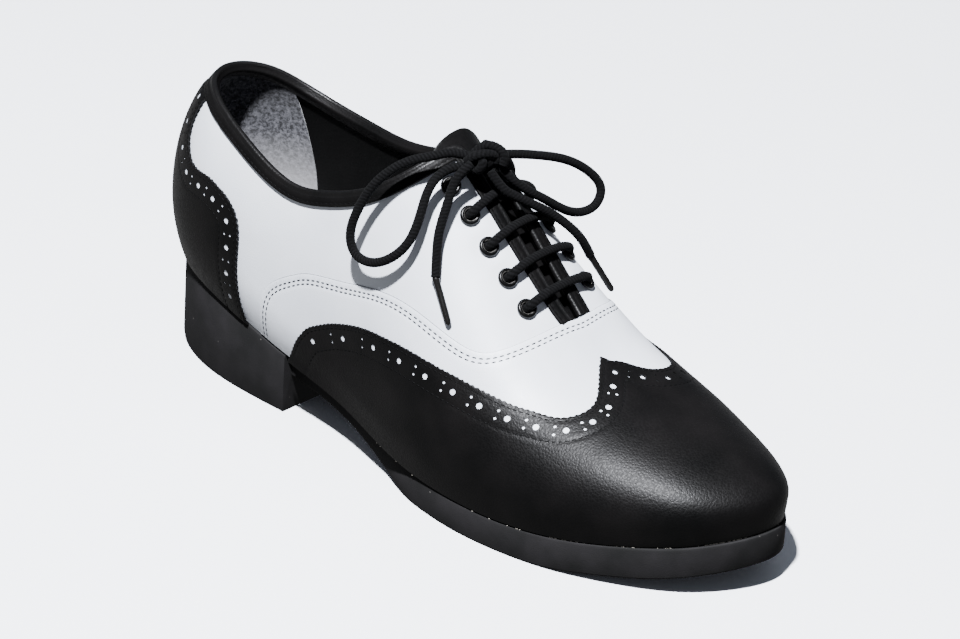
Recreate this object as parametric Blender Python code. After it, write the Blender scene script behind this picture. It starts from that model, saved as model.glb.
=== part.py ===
"""A laced two-tone leather dance shoe for the right foot, on a moulded rubber sole with a block heel.

All lengths are metres. Inside the script x runs from the back of the last to its toe, -y is the outer side of
the foot and z is the height above the floor. Every piece hangs on one empty, which carries the shoe to where
the middle of its footprint is the origin.

The upper is drawn on the last as a shoemaker draws it, on a flat pattern: the line down the middle of the
instep stays where it is in plan, and the feather line, where upper meets sole, is the plan outline. A pattern
point is then a place on the last, so each panel, eyelet and edge is given as a few points of that pattern.
"""
import math

import bmesh
import bpy
import numpy as np
from mathutils import Matrix, Vector

GAP = 0.0003
WALL = 0.0020
OVERLAY = 0.0012
OVERLAY_LIFT = 0.0009
OVERLAY_GAP = 0.0006
WING_CROWDING = 1.5
COUNTER_CROWDING = 1.15

# Last: plan outline at its widest, with the toe turned in as on a right foot
PLAN_ROWS = (
    # from_heel, outer_y, inner_y
    (-0.0032, 0.0000, 0.0000),
    (0.0060, -0.0200, 0.0187),
    (0.0300, -0.0325, 0.0315),
    (0.0650, -0.0350, 0.0320),
    (0.1050, -0.0360, 0.0280),
    (0.1400, -0.0435, 0.0330),
    (0.1700, -0.0473, 0.0390),
    (0.1950, -0.0458, 0.0425),
    (0.2200, -0.0395, 0.0405),
    (0.2450, -0.0275, 0.0320),
    (0.2600, -0.0145, 0.0225),
    (0.2690, 0.0080, 0.0080),
)
HEEL_CENTRE = 0.034
TOE_CENTRE = 0.222

# Last: what its cross-sections measure. The ridge is where a section closes, above the collar too.
SECTION_ROWS = (
    # from_heel, seat, bulge, tuck, ridge, spine_y, outer_square, inner_square
    (-0.004, 0.0350, 0.0260, 0.0052, 0.1135, 0.0000, 2.20, 2.20),
    (0.034, 0.0330, 0.0240, 0.0046, 0.1150, 0.0000, 2.20, 2.20),
    (0.072, 0.0240, 0.0185, 0.0034, 0.1240, 0.0008, 2.15, 2.15),
    (0.110, 0.0170, 0.0148, 0.0034, 0.1250, 0.0018, 2.10, 2.15),
    (0.130, 0.0138, 0.0135, 0.0033, 0.1130, 0.0022, 2.05, 2.25),
    (0.150, 0.0121, 0.0120, 0.0030, 0.0945, 0.0025, 2.00, 2.42),
    (0.170, 0.0116, 0.0108, 0.0027, 0.0755, 0.0027, 2.00, 2.90),
    (0.190, 0.0116, 0.0101, 0.0025, 0.0600, 0.0030, 2.05, 3.00),
    (0.210, 0.0125, 0.0095, 0.0025, 0.0515, 0.0036, 2.15, 2.85),
    (0.230, 0.0148, 0.0090, 0.0025, 0.0465, 0.0040, 2.25, 2.55),
    (0.250, 0.0180, 0.0090, 0.0025, 0.0430, 0.0040, 2.30, 2.35),
    (0.272, 0.0224, 0.0090, 0.0025, 0.0400, 0.0040, 2.30, 2.30),
)
BULGE_RISE = 0.15

# Upper: height of the collar edge on both sides, up to the top corners of the facings
COLLAR_ROWS = (
    # from_heel, outer_z, inner_z
    (-0.004, 0.1035, 0.1035),
    (0.012, 0.1032, 0.0994),
    (0.024, 0.1016, 0.0942),
    (0.041, 0.0976, 0.0894),
    (0.058, 0.0918, 0.0880),
    (0.076, 0.0884, 0.0888),
    (0.090, 0.0914, 0.0920),
    (0.105, 0.0974, 0.0975),
    (0.114, 0.1032, 0.1036),
    (0.124, 0.1130, 0.1130),
    (0.134, 0.1280, 0.1280),
)
FACING_TOP = 0.124
THROAT_BASE = 0.180
FACING_GAP_TOP = 0.0050
FACING_GAP_BASE = 0.0034
FACING_LEAD = 0.0100

# Sole: moulded in one piece, its side standing out from the feather line
SOLE_ROWS = (
    # from_heel, bottom, stands_out, chamfer
    (0.0760, 0.0142, -0.0022, 0.0006),
    (0.0900, 0.0118, -0.0024, 0.0006),
    (0.1100, 0.0076, -0.0018, 0.0006),
    (0.1300, 0.0030, -0.0006, 0.0006),
    (0.1450, 0.0004, 0.0018, 0.0006),
    (0.1500, 0.0000, 0.0024, 0.0006),
    (0.1700, 0.0000, 0.0032, 0.0006),
    (0.2060, 0.0000, 0.0036, 0.0006),
    (0.2150, 0.0005, 0.0038, 0.0006),
    (0.2450, 0.0050, 0.0042, 0.0006),
    (0.2720, 0.0110, 0.0044, 0.0006),
)
HEEL_ROWS = (
    # from_heel, bottom, stands_out, chamfer
    (-0.004, 0.0000, 0.0010, 0.0026),
    (0.020, 0.0000, 0.0010, 0.0018),
    (0.045, 0.0000, 0.0010, 0.0006),
    (0.076, 0.0000, 0.0010, 0.0006),
)
BREAST = 0.0755
BREAST_LEAD = 0.0005

INSOLE_THICK = 0.0020
INSOLE_INSET = 0.0036

# Overlays: each edge as pattern points of the outer side, mirrored for the inner side
WING_NOSE = 0.0835
WING_SIDE = (
    (0.0795, -0.0329), (0.0835, -0.0300), (0.1020, -0.0274), (0.1290, -0.0271),
    (0.1680, -0.0233), (0.1900, -0.0181), (0.2000, -0.0141), (0.2070, -0.0069),
)
WING_PEAK = ((0.2070, -0.0069), (0.2038, -0.0034), (0.1990, -0.0005), (0.1925, 0.0030))
WING_NOTCH_FOOT = 0.210
COUNTER_TAB_FOOT = 0.057
STRAP_DROP = 0.06
COUNTER_EDGE = (
    (0.0208, -0.0122), (0.0187, -0.0138), (0.0184, -0.0162), (0.0225, -0.0195),
    (0.0350, -0.0217), (0.0440, -0.0231), (0.0500, -0.0264), (0.0512, -0.0305), (0.0560, -0.0346),
)

BINDING_GAP = 0.0005
BINDING_WIDTH = 0.0042
BINDING_THICK = 0.0009
BINDING_EDGE = 0.0015
BINDING_ROUND = 0.0008
BINDING_FOOT = 0.1740

TONGUE_THICK = 0.0018
TONGUE_DROP = WALL + 0.0014
TONGUE_ROWS = (
    # from_heel, pattern half width, turned in
    (0.1920, 0.0095, 0.0000),
    (0.1700, 0.0095, 0.0000),
    (0.1480, 0.0092, 0.0004),
    (0.1340, 0.0088, 0.0010),
    (0.1272, 0.0080, 0.0014),
    (0.1232, 0.0058, 0.0016),
    (0.1216, 0.0026, 0.0016),
)

EYELET_ROWS = 5
EYELET_FIRST = 0.1702
EYELET_STEP = 0.0094
EYELET_OUT = 0.0152
EYELET_BORE = 0.0020
EYELET_BARREL = 0.0025
EYELET_FLANGE = 0.0036
EYELET_HEIGHT = 0.0010
EYELET_ROUND = 0.0003
EYELET_LIFT = 0.0004
EYELET_SIDES = 8
HOLE_RADIUS = 0.0029

LACE_RADIUS = 0.00165
BAR_HEIGHT = 0.0038
BAR_DEPTH = 0.0012
CORD_STEP = 0.0080

# Bow: a knot on the top bar, a loop and an end on each side, each end finished with an aglet
KNOT_CENTRE = (0.1398, -0.0048, 0.1162)
KNOT_HALF = (0.0038, 0.0062, 0.0038)
OUTER_LOOP = (
    (0.1368, -0.0096, 0.1180), (0.1325, -0.0140, 0.1190), (0.1283, -0.0194, 0.1178), (0.1233, -0.0244, 0.1158),
    (0.1159, -0.0314, 0.1082), (0.1110, -0.0360, 0.0964), (0.1098, -0.0380, 0.0868), (0.1132, -0.0388, 0.0812),
    (0.1214, -0.0390, 0.0808), (0.1297, -0.0374, 0.0858), (0.1336, -0.0337, 0.0923), (0.1335, -0.0290, 0.1002),
    (0.1325, -0.0247, 0.1073), (0.1330, -0.0202, 0.1123), (0.1350, -0.0152, 0.1146), (0.1378, -0.0106, 0.1146),
)
INNER_LOOP = (
    (0.1408, 0.0022, 0.1162), (0.1422, 0.0083, 0.1150), (0.1462, 0.0199, 0.1121), (0.1502, 0.0300, 0.1080),
    (0.1541, 0.0371, 0.1021), (0.1566, 0.0391, 0.0969), (0.1575, 0.0360, 0.0924), (0.1568, 0.0298, 0.0911),
    (0.1556, 0.0215, 0.0942), (0.1533, 0.0128, 0.1004), (0.1510, 0.0079, 0.1039), (0.1472, 0.0030, 0.1086),
    (0.1426, -0.0005, 0.1140),
)
OUTER_END = (
    (0.1408, -0.0122, 0.1172), (0.1396, -0.0162, 0.1144), (0.1388, -0.0188, 0.1100), (0.1393, -0.0224, 0.1029),
    (0.1403, -0.0264, 0.0949), (0.1424, -0.0292, 0.0872), (0.1446, -0.0316, 0.0816),
)
INNER_END = (
    (0.1431, -0.0050, 0.1131), (0.1478, -0.0025, 0.1071), (0.1500, 0.0001, 0.1048), (0.1543, 0.0058, 0.1010),
    (0.1588, 0.0130, 0.0957), (0.1644, 0.0194, 0.0882), (0.1664, 0.0242, 0.0796),
)
OUTER_AGLET_TIP = (0.1552, -0.0352, 0.0684)
INNER_AGLET_TIP = (0.1736, 0.0291, 0.0667)
AGLET_RADIUS = 0.0012
AGLET_CLEARANCE = 0.0009


def cubic(knots, values, closed=False):
    """A smooth curve through the values at the knots, running round where it is closed."""
    t = np.asarray(knots, float)
    y = np.asarray(values, float).reshape(len(t), -1)
    h = np.diff(t)
    slope = np.diff(y, axis=0) / h[:, None]
    system = np.zeros((len(t), len(t)))
    target = np.zeros_like(y)
    for i in range(1, len(t) - 1):
        system[i, i - 1:i + 2] = h[i - 1], 2 * (h[i - 1] + h[i]), h[i]
        target[i] = 6 * (slope[i] - slope[i - 1])
    if closed:
        system[0, [0, -1]] = 1, -1
        system[-1, [0, 1, -2, -1]] = 2 * h[0], h[0], h[-1], 2 * h[-1]
        target[-1] = 6 * (slope[0] - slope[-1])
    else:
        system[0, 0] = system[-1, -1] = 1
    bend = np.linalg.solve(system, target)

    def at(where):
        q = np.atleast_1d(np.asarray(where, float))
        i = np.clip(np.searchsorted(t, q, side="right") - 1, 0, len(t) - 2)
        left, right, step = (t[i + 1] - q)[:, None], (q - t[i])[:, None], h[i][:, None]
        curve = (bend[i] * left ** 3 + bend[i + 1] * right ** 3) / (6 * step)
        chord = (y[i] / step - bend[i] * step / 6) * left + (y[i + 1] / step - bend[i + 1] * step / 6) * right
        return curve + chord

    return at


def column(rows, index):
    """One column of a table as a smooth function of its first column."""
    table = np.array(rows)
    curve = cubic(table[:, 0], table[:, index])
    return lambda x: curve(np.clip(x, table[0, 0], table[-1, 0]))[:, 0]


seat, bulge, tuck, ridge, spine, outer_square, inner_square = (column(SECTION_ROWS, k) for k in range(1, 8))
collar_z = {-1: column(COLLAR_ROWS, 1), 1: column(COLLAR_ROWS, 2)}


def plan_outline():
    """Dense points of the plan outline from heel back to toe, outer side and inner side."""
    rows = np.array(PLAN_ROWS)
    ring = np.vstack([rows[:, [0, 1]], rows[-2:0:-1][:, [0, 2]], rows[:1, [0, 1]]])
    steps = np.sqrt(np.hypot(*np.diff(ring, axis=0).T))
    knots = np.concatenate([[0.0], np.cumsum(steps)])
    dense = cubic(knots, ring, closed=True)(np.linspace(0, knots[-1], 4001))
    tip = dense[:, 0].argmax()
    back = dense[:, 0].argmin()
    dense = np.roll(dense[:-1], -back, axis=0)
    tip = (tip - back) % len(dense)
    return {-1: dense[:tip + 1], 1: np.vstack([dense[tip:], dense[:1]])[::-1]}


OUTLINE = plan_outline()


def centre(x):
    """The point of the last's middle line that the section through x turns about."""
    middle = np.clip(x, HEEL_CENTRE, TOE_CENTRE)
    return np.stack([middle, spine(middle)], axis=-1)


def fan(side, end):
    """Outline points round the heel or the toe, with their angles off the middle line."""
    points = OUTLINE[side]
    hub = centre(np.array([end]))[0]
    forward = 1 if end == TOE_CENTRE else -1
    points = points[(points[:, 0] - end) * forward >= 0]
    angle = np.arctan2((points[:, 1] - hub[1]) * side, (points[:, 0] - hub[0]) * forward)
    order = angle.argsort()
    return angle[order], points[order]


FANS = {(side, end): fan(side, end) for side in (-1, 1) for end in (HEEL_CENTRE, TOE_CENTRE)}


def outline_at(side, place):
    """Outline point for a place: 0 heel back to 1 beside the heel, 2 beside the toe, 3 toe tip."""
    if place < 1:
        end, turn = HEEL_CENTRE, place
    elif place > 2:
        end, turn = TOE_CENTRE, 3 - place
    else:
        x = HEEL_CENTRE + (TOE_CENTRE - HEEL_CENTRE) * (place - 1)
        points = OUTLINE[side]
        order = points[:, 0].argsort()
        return np.array([x, np.interp(x, points[order, 0], points[order, 1])])
    angle, points = FANS[side, end]
    first = angle[np.hypot(*(points - OUTLINE[side][0 if end == HEEL_CENTRE else -1]).T).argmin()]
    q = first + (math.pi / 2 - first) * turn
    return np.array([np.interp(q, angle, points[:, 0]), np.interp(q, angle, points[:, 1])])


def place_of(x):
    """Place along the outline that lies beside a distance from the heel."""
    return 1 + (x - HEEL_CENTRE) / (TOE_CENTRE - HEEL_CENTRE)


def locate(pattern):
    """Outline point and rise (0 feather, 1 ridge) of the section that each pattern point lies on."""
    pattern = np.atleast_2d(pattern)
    hub = centre(pattern[:, 0])
    offset = pattern - hub
    foot = np.zeros_like(pattern)
    for i, (point, away) in enumerate(zip(pattern, offset)):
        side = -1 if away[1] < 0 else 1
        if HEEL_CENTRE <= point[0] <= TOE_CENTRE:
            foot[i] = outline_at(side, place_of(point[0]))
            continue
        end = HEEL_CENTRE if point[0] < HEEL_CENTRE else TOE_CENTRE
        angle, points = FANS[side, end]
        q = math.atan2(away[1] * side, abs(away[0]))
        foot[i] = np.interp(q, angle, points[:, 0]), np.interp(q, angle, points[:, 1])
    reach = np.hypot(*(foot - hub).T)
    return foot, 1 - np.hypot(*offset.T) / reach


def skin(foot, rise):
    """Points of the last's surface on the sections through the outline points, at their rises."""
    foot = np.atleast_2d(foot)
    rise = np.broadcast_to(np.asarray(rise, float), len(foot))
    x = foot[:, 0]
    hub = centre(x)
    reach = np.hypot(*(foot - hub).T)
    below = np.clip(1 - rise / BULGE_RISE, 0, None)
    turn = np.clip((rise - BULGE_RISE) / (1 - BULGE_RISE), 0, 1) * math.pi / 2
    square = np.where(foot[:, 1] < hub[:, 1], outer_square(x), inner_square(x))
    out = reach * np.cos(turn) ** (2 / square) - tuck(x) * below ** 2
    plan = hub + (foot - hub) / reach[:, None] * out[:, None]
    widest = seat(x) + bulge(x)
    top = ridge(np.maximum(plan[:, 0], HEEL_CENTRE))
    z = np.where(rise < BULGE_RISE, widest - bulge(x) * below, widest + (top - widest) * np.sin(turn))
    return np.column_stack([plan, z])


def on_last(pattern, lift=0.0):
    """Places on the last for pattern points, lifted off it along its outward normal."""
    pattern = np.atleast_2d(pattern)
    points = skin(*locate(pattern))
    step = 0.0002
    along = skin(*locate(pattern + (step, 0))) - skin(*locate(pattern - (step, 0)))
    across = skin(*locate(pattern + (0, step))) - skin(*locate(pattern - (0, step)))
    normal = np.cross(along, across)
    normal /= np.linalg.norm(normal, axis=1)[:, None]
    return points + normal * np.reshape(lift, (-1, 1))


def normal_at(pattern):
    """Outward normal of the last at one pattern point."""
    return (on_last(pattern, 1.0) - on_last(pattern, 0.0))[0]


def pattern_at(side, place, rise):
    """Pattern point at a place along the outline and a rise up the last."""
    foot = outline_at(side, place)
    hub = centre(foot[:1])[0]
    return hub + (foot - hub) * (1 - rise)


def beside_middle(side, x, out):
    """Pattern point whose place on the last is that far out from the middle line at x."""
    foot = outline_at(side, place_of(x))
    rises = np.linspace(1, BULGE_RISE, 200)
    reach = np.abs(skin(np.repeat(foot[None], len(rises), 0), rises)[:, 1] - spine([x])[0])
    return pattern_at(side, place_of(x), np.interp(out, reach, rises))


def mirrored(pattern):
    """Outer-side pattern points carried to the inner side, in step with the last's width there."""
    twin = np.array(pattern, float)
    for i, (x, y) in enumerate(np.atleast_2d(pattern)):
        middle = min(max(x, HEEL_CENTRE), TOE_CENTRE)
        hub_y = spine([middle])[0]
        outer = outline_at(-1, place_of(middle))[1] - hub_y
        inner = outline_at(1, place_of(middle))[1] - hub_y
        twin[i] = x, hub_y + (y - hub_y) * inner / outer
    return twin


def smooth_path(points, count):
    """Evenly spaced points on a smooth curve through a few route points."""
    points = np.asarray(points, float)
    knots = np.concatenate([[0.0], np.cumsum(np.sqrt(np.linalg.norm(np.diff(points, axis=0), axis=1)))])
    dense = cubic(knots, points)(np.linspace(0, knots[-1], 600))
    run = np.concatenate([[0.0], np.cumsum(np.linalg.norm(np.diff(dense, axis=0), axis=1))])
    even = np.linspace(0, run[-1], count)
    return np.column_stack([np.interp(even, run, dense[:, k]) for k in range(points.shape[1])])


def material(name, colour, roughness, metallic=0.0):
    """A Principled material in a linear colour."""
    made = bpy.data.materials.new(name)
    made.use_nodes = True
    shader = made.node_tree.nodes["Principled BSDF"]
    shader.inputs["Base Color"].default_value = (*colour, 1)
    shader.inputs["Roughness"].default_value = roughness
    shader.inputs["Metallic"].default_value = metallic
    return made


def add_object(name, data, finish):
    """One named sub-part with its material, hung on the shoe's empty."""
    made = bpy.data.objects.new(name, data)
    bpy.context.scene.collection.objects.link(made)
    made.parent = SHOE
    data.materials.append(finish)
    return made


def mesh_object(name, verts, faces, finish, outward=None):
    """A mesh welded from points and faces; an open sheet is turned so that it faces outward."""
    mesh = bpy.data.meshes.new(name)
    mesh.from_pydata([tuple(v) for v in verts], [], faces)
    edit = bmesh.new()
    edit.from_mesh(mesh)
    bmesh.ops.remove_doubles(edit, verts=edit.verts, dist=1e-6)
    bmesh.ops.dissolve_degenerate(edit, edges=edit.edges, dist=1e-6)
    bmesh.ops.recalc_face_normals(edit, faces=edit.faces)
    if outward is not None:
        edit.faces.ensure_lookup_table()
        facing = sum((face.normal.dot(face.calc_center_median() - Vector(outward)) for face in edit.faces))
        if facing < 0:
            bmesh.ops.reverse_faces(edit, faces=edit.faces)
    edit.to_mesh(mesh)
    edit.free()
    mesh.shade_smooth()
    mesh.set_sharp_from_angle(angle=math.radians(40))
    return add_object(name, mesh, finish)


def grid_faces(rows, columns, around=False):
    """Quads of a grid of points stored row by row; its rows may close on themselves."""
    last = columns if around else columns - 1
    return [
        (r * columns + c, r * columns + (c + 1) % columns,
         (r + 1) * columns + (c + 1) % columns, (r + 1) * columns + c)
        for r in range(rows - 1) for c in range(last)
    ]


def sheet_solid(name, outer, inner, finish):
    """A closed wall between two grids of points with the same rows and columns."""
    rows, columns = outer.shape[:2]
    verts = np.vstack([outer.reshape(-1, 3), inner.reshape(-1, 3)])
    half = rows * columns
    faces = grid_faces(rows, columns)
    faces += [tuple(half + v for v in face[::-1]) for face in grid_faces(rows, columns)]
    rim = [c for c in range(columns)]
    rim += [r * columns + columns - 1 for r in range(1, rows)]
    rim += [(rows - 1) * columns + c for c in range(columns - 2, -1, -1)]
    rim += [r * columns for r in range(rows - 2, 0, -1)]
    for a, b in zip(rim, rim[1:] + rim[:1]):
        faces.append((b, a, half + a, half + b))
    return mesh_object(name, verts, faces, finish)


def swept_solid(name, sections, finish):
    """A closed solid through a run of cross-sections with the same number of points."""
    count, points = sections.shape[:2]
    faces = grid_faces(count, points, around=True)
    faces.append(tuple(range(points)))
    faces.append(tuple(range(points * count - 1, points * (count - 1) - 1, -1)))
    return mesh_object(name, sections.reshape(-1, 3), faces, finish)


def cord(name, points, radius, finish):
    """A round cord as a filled tube along a polyline."""
    curve = bpy.data.curves.new(name, "CURVE")
    curve.dimensions = "3D"
    curve.bevel_depth = radius
    curve.bevel_resolution = 2
    curve.use_fill_caps = True
    line = curve.splines.new("POLY")
    line.points.add(len(points) - 1)
    for knot, point in zip(line.points, points):
        knot.co = (*point, 1)
    return add_object(name, curve, finish)


def places_along(heel_turns, x_stops, toe_turns):
    """Places from the heel back to the toe tip: turns round the heel, stops along the side, turns round the toe."""
    heel = [i / heel_turns for i in range(heel_turns)]
    toe = [2 + i / toe_turns for i in range(1, toe_turns + 1)]
    return heel + [place_of(x) for x in x_stops] + toe


UPPER_STOPS = (
    0.034, 0.044, 0.054, 0.064, 0.074, 0.084, 0.094, 0.103, 0.111, 0.117, 0.121, 0.124, 0.130, 0.138, 0.148,
    0.158, 0.166, BINDING_FOOT, THROAT_BASE, 0.185, 0.190, 0.196, 0.202, 0.208, 0.215, 0.222,
)
UPPER_PLACES = places_along(6, UPPER_STOPS, 7)
UPPER_RISES = 8


def facing_gap(x):
    """Half of the gap between the facings at x, closing to a point at the throat base."""
    half = FACING_GAP_TOP + (FACING_GAP_BASE - FACING_GAP_TOP) * (x - FACING_TOP) / (BINDING_FOOT - FACING_TOP)
    close = (THROAT_BASE - x) / (THROAT_BASE - BINDING_FOOT)
    return half * min(max(close, 0.0), 1.0)


def edge_rise(side, place):
    """Rise at which the upper ends: at the collar, at the facing, or closed over the ridge."""
    foot = outline_at(side, place)
    if foot[0] >= THROAT_BASE:
        return 1.0
    rises = np.linspace(0.16, 1, 400)
    points = skin(np.repeat(foot[None], len(rises), 0), rises)
    rise = np.interp(collar_z[side]([foot[0]])[0], points[:, 2], rises)
    if foot[0] >= FACING_TOP - FACING_LEAD:
        out = np.abs(points[:, 1] - spine([foot[0]])[0])[::-1]
        rise = min(rise, np.interp(facing_gap(max(foot[0], FACING_TOP)), out, rises[::-1]))
    return rise


def make_upper(finish):
    """The closed-lace upper as one sheet on the last, given its wall inwards and pierced for the eyelets."""
    verts, faces = [], []
    for side in (-1, 1):
        start = len(verts)
        count = UPPER_RISES + 3
        for place in UPPER_PLACES:
            foot = outline_at(side, place)
            end = edge_rise(side, place)
            rises = [0, BULGE_RISE / 2, *np.linspace(BULGE_RISE, end, UPPER_RISES + 1)]
            verts += list(skin(np.repeat(foot[None], count, 0), rises))
        faces += [tuple(start + v for v in face) for face in grid_faces(len(UPPER_PLACES), count)]
    upper = mesh_object("upper", verts, faces, finish, outward=(0.14, 0, 0.03))
    wall = upper.modifiers.new("wall", "SOLIDIFY")
    wall.thickness = WALL
    wall.offset = -1
    wall.use_even_offset = True
    holes = upper.modifiers.new("eyelet_holes", "BOOLEAN")
    holes.object = make_hole_cutter(finish)
    return upper


def eyelet_pattern(side, row):
    """Pattern point of an eyelet, counted from the throat base."""
    return beside_middle(side, EYELET_FIRST - row * EYELET_STEP, EYELET_OUT)


def turned(name, profile, sides, origin, axis, finish):
    """A ring turned from a closed profile of radius and height about an axis."""
    frame = Vector(axis).to_track_quat("Z", "X").to_matrix()
    sections = []
    for i in range(sides):
        a = 2 * math.pi * i / sides
        ring = [frame @ Vector((r * math.cos(a), r * math.sin(a), h)) + Vector(origin) for r, h in profile]
        sections.append(ring)
    sections.append(sections[0])
    points = np.array(sections)
    faces = grid_faces(sides + 1, len(profile), around=True)
    return mesh_object(name, points.reshape(-1, 3), faces, finish)


def make_hole_cutter(finish):
    """The round holes that the eyelets go through, as one hidden cutter."""
    edit = bmesh.new()
    for side in (-1, 1):
        for row in range(EYELET_ROWS):
            spot = eyelet_pattern(side, row)
            frame = Vector(normal_at(spot)).to_track_quat("Z", "X").to_matrix().to_4x4()
            frame.translation = Vector(on_last(spot)[0])
            bmesh.ops.create_cone(edit, cap_ends=True, segments=EYELET_SIDES, radius1=HOLE_RADIUS,
                                  radius2=HOLE_RADIUS, depth=4 * WALL, matrix=frame)
    mesh = bpy.data.meshes.new("eyelet_holes")
    edit.to_mesh(mesh)
    edit.free()
    cutter = add_object("eyelet_holes", mesh, finish)
    cutter.hide_render = True
    cutter.display_type = "WIRE"
    return cutter


def make_eyelets(finish):
    """Flanged metal eyelets, five on each facing."""
    top = EYELET_LIFT + EYELET_HEIGHT
    profile = (
        (EYELET_BORE, -WALL), (EYELET_BARREL, -WALL), (EYELET_BARREL, EYELET_LIFT),
        (EYELET_FLANGE, EYELET_LIFT), (EYELET_FLANGE - EYELET_ROUND, top), (EYELET_BORE, top),
    )
    for side, word in ((-1, "outer"), (1, "inner")):
        for row in range(EYELET_ROWS):
            spot = eyelet_pattern(side, row)
            turned(f"eyelet_{word}_{row + 1}", profile, EYELET_SIDES, on_last(spot)[0], normal_at(spot), finish)


def patch(name, edge, foot, rows, crowding, finish):
    """An overlay on the upper from its cut edge to the feather line, its rows crowded towards the feather line."""
    share = (1 - np.linspace(1, 0, rows) ** crowding)[:, None, None]
    pattern = edge[None] * (1 - share) + foot[None] * share
    flat = pattern.reshape(-1, 2)
    shape = (rows, len(edge), 3)
    inner = on_last(flat, OVERLAY_GAP).reshape(shape)
    outer = on_last(flat, OVERLAY_GAP + OVERLAY).reshape(shape)
    return sheet_solid(name, outer, inner, finish)


def feather_run(side, places):
    """Pattern points at a run of places, just clear of the sole."""
    bulges = [bulge(outline_at(side, place)[:1])[0] for place in places]
    return np.array([pattern_at(side, place, BULGE_RISE * OVERLAY_LIFT / b) for place, b in zip(places, bulges)])


def place_near(side, x):
    """Place on the outline at a distance from the heel, round the heel and toe too."""
    places = np.linspace(0, 3, 901)
    xs = [outline_at(side, place)[0] for place in places]
    return float(np.interp(x, xs, places))


def make_wing_cap(finish):
    """The winged toe cap, from one nose by the waist over the toe to the other."""
    side_count, peak_count, rows = 19, 12, 12
    edge, foot = [], []
    for side in (-1, 1):
        run = smooth_path(WING_SIDE, side_count)
        peak = smooth_path(WING_PEAK, peak_count)[1:]
        half_edge = np.vstack([run, peak])
        nose, notch = (place_near(side, x) for x in (WING_NOSE, WING_NOTCH_FOOT))
        half_foot = np.vstack([feather_run(side, np.linspace(nose, notch, side_count)),
                               feather_run(side, np.linspace(notch, 3, peak_count)[1:])])
        if side == 1:
            half_edge = mirrored(half_edge)[-2::-1]
            half_foot = half_foot[-2::-1]
        edge.append(half_edge)
        foot.append(half_foot)
    return patch("wing_cap", np.vstack(edge), np.vstack(foot), rows, WING_CROWDING, finish)


def make_heel_counter(finish):
    """The counter round the heel, with its strap up the back and a rounded tab on each side."""
    count, strap, rows = 14, 4, 11
    edge, foot = [], []
    back_rise = edge_rise(-1, 0.0) - STRAP_DROP
    for side in (-1, 1):
        run = smooth_path(COUNTER_EDGE, count)[::-1]
        top = np.linspace(run[-1], pattern_at(-1, 0.0, back_rise), strap)[1:]
        half_edge = np.vstack([run, top])
        tab = place_near(side, COUNTER_TAB_FOOT)
        half_foot = feather_run(side, np.linspace(tab, 0, len(half_edge)))
        if side == 1:
            half_edge = mirrored(half_edge)[-2::-1]
            half_foot = half_foot[-2::-1]
        edge.append(half_edge)
        foot.append(half_foot)
    return patch("heel_counter", np.vstack(edge), np.vstack(foot), rows, COUNTER_CROWDING, finish)


def make_binding(finish):
    """The leather binding over the collar's edge and down both facings to the throat."""
    stops = [x for x in UPPER_STOPS if x < BINDING_FOOT - 0.002] + [BINDING_FOOT]
    places = [i / 6 for i in range(6)] + [place_of(x) for x in stops]
    run = [(-1, place) for place in places[::-1]] + [(1, place) for place in places[1:]]
    pattern = np.array([pattern_at(side, place, edge_rise(side, place)) for side, place in run])
    edge = on_last(pattern)
    normal = on_last(pattern, 1.0) - edge
    tangent = np.gradient(edge, axis=0)
    beyond = np.cross(tangent, normal)
    beyond /= np.linalg.norm(beyond, axis=1)[:, None]
    top = BINDING_GAP + BINDING_THICK
    profile = (
        (-BINDING_WIDTH, BINDING_GAP), (-BINDING_WIDTH, top), (BINDING_EDGE - BINDING_ROUND, top),
        (BINDING_EDGE, top - BINDING_ROUND), (BINDING_EDGE, -WALL), (BINDING_GAP, -WALL), (BINDING_GAP, BINDING_GAP),
    )
    sections = np.array([[e + b * out + n * up for out, up in profile] for e, b, n in zip(edge, beyond, normal)])
    return swept_solid("topline_binding", sections, finish)


def make_tongue(finish):
    """The tongue under the facings, rounded at its top."""
    rows = np.array(TONGUE_ROWS)
    middle = spine(rows[:, 0]) + rows[:, 2]
    shares = np.linspace(-1, 1, 9)
    pattern = np.array([[(x, y + half * share) for share in shares] for (x, half, _), y in zip(rows, middle)])
    shape = (len(rows), len(shares), 3)
    flat = pattern.reshape(-1, 2)
    outer = on_last(flat, -TONGUE_DROP).reshape(shape)
    inner = on_last(flat, -TONGUE_DROP - TONGUE_THICK).reshape(shape)
    return sheet_solid("tongue", outer, inner, finish)


def ring_solid(name, levels, finish):
    """A solid between rings of station points; each level holds the outer and the inner side's points."""
    stations = levels.shape[1]
    verts = levels.reshape(-1, 3)
    faces = []

    def index(level, station, side):
        return (level * stations + station) * 2 + side

    for level in range(len(levels) - 1):
        for i in range(stations - 1):
            for side in (0, 1):
                quad = (index(level, i, side), index(level, i + 1, side),
                        index(level + 1, i + 1, side), index(level + 1, i, side))
                faces.append(quad if side == 0 else quad[::-1])
    for level in (0, len(levels) - 1):
        for i in range(stations - 1):
            faces.append((index(level, i, 0), index(level, i, 1), index(level, i + 1, 1), index(level, i + 1, 0)))
    return mesh_object(name, verts, faces, finish)


def beyond_feather(side, place, out):
    """Plan point that far out from the feather line at a place."""
    foot = outline_at(side, place)
    hub = centre(foot[:1])[0]
    reach = np.hypot(*(foot - hub))
    return hub + (foot - hub) / reach * (reach - tuck(foot[:1])[0] + out)


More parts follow.
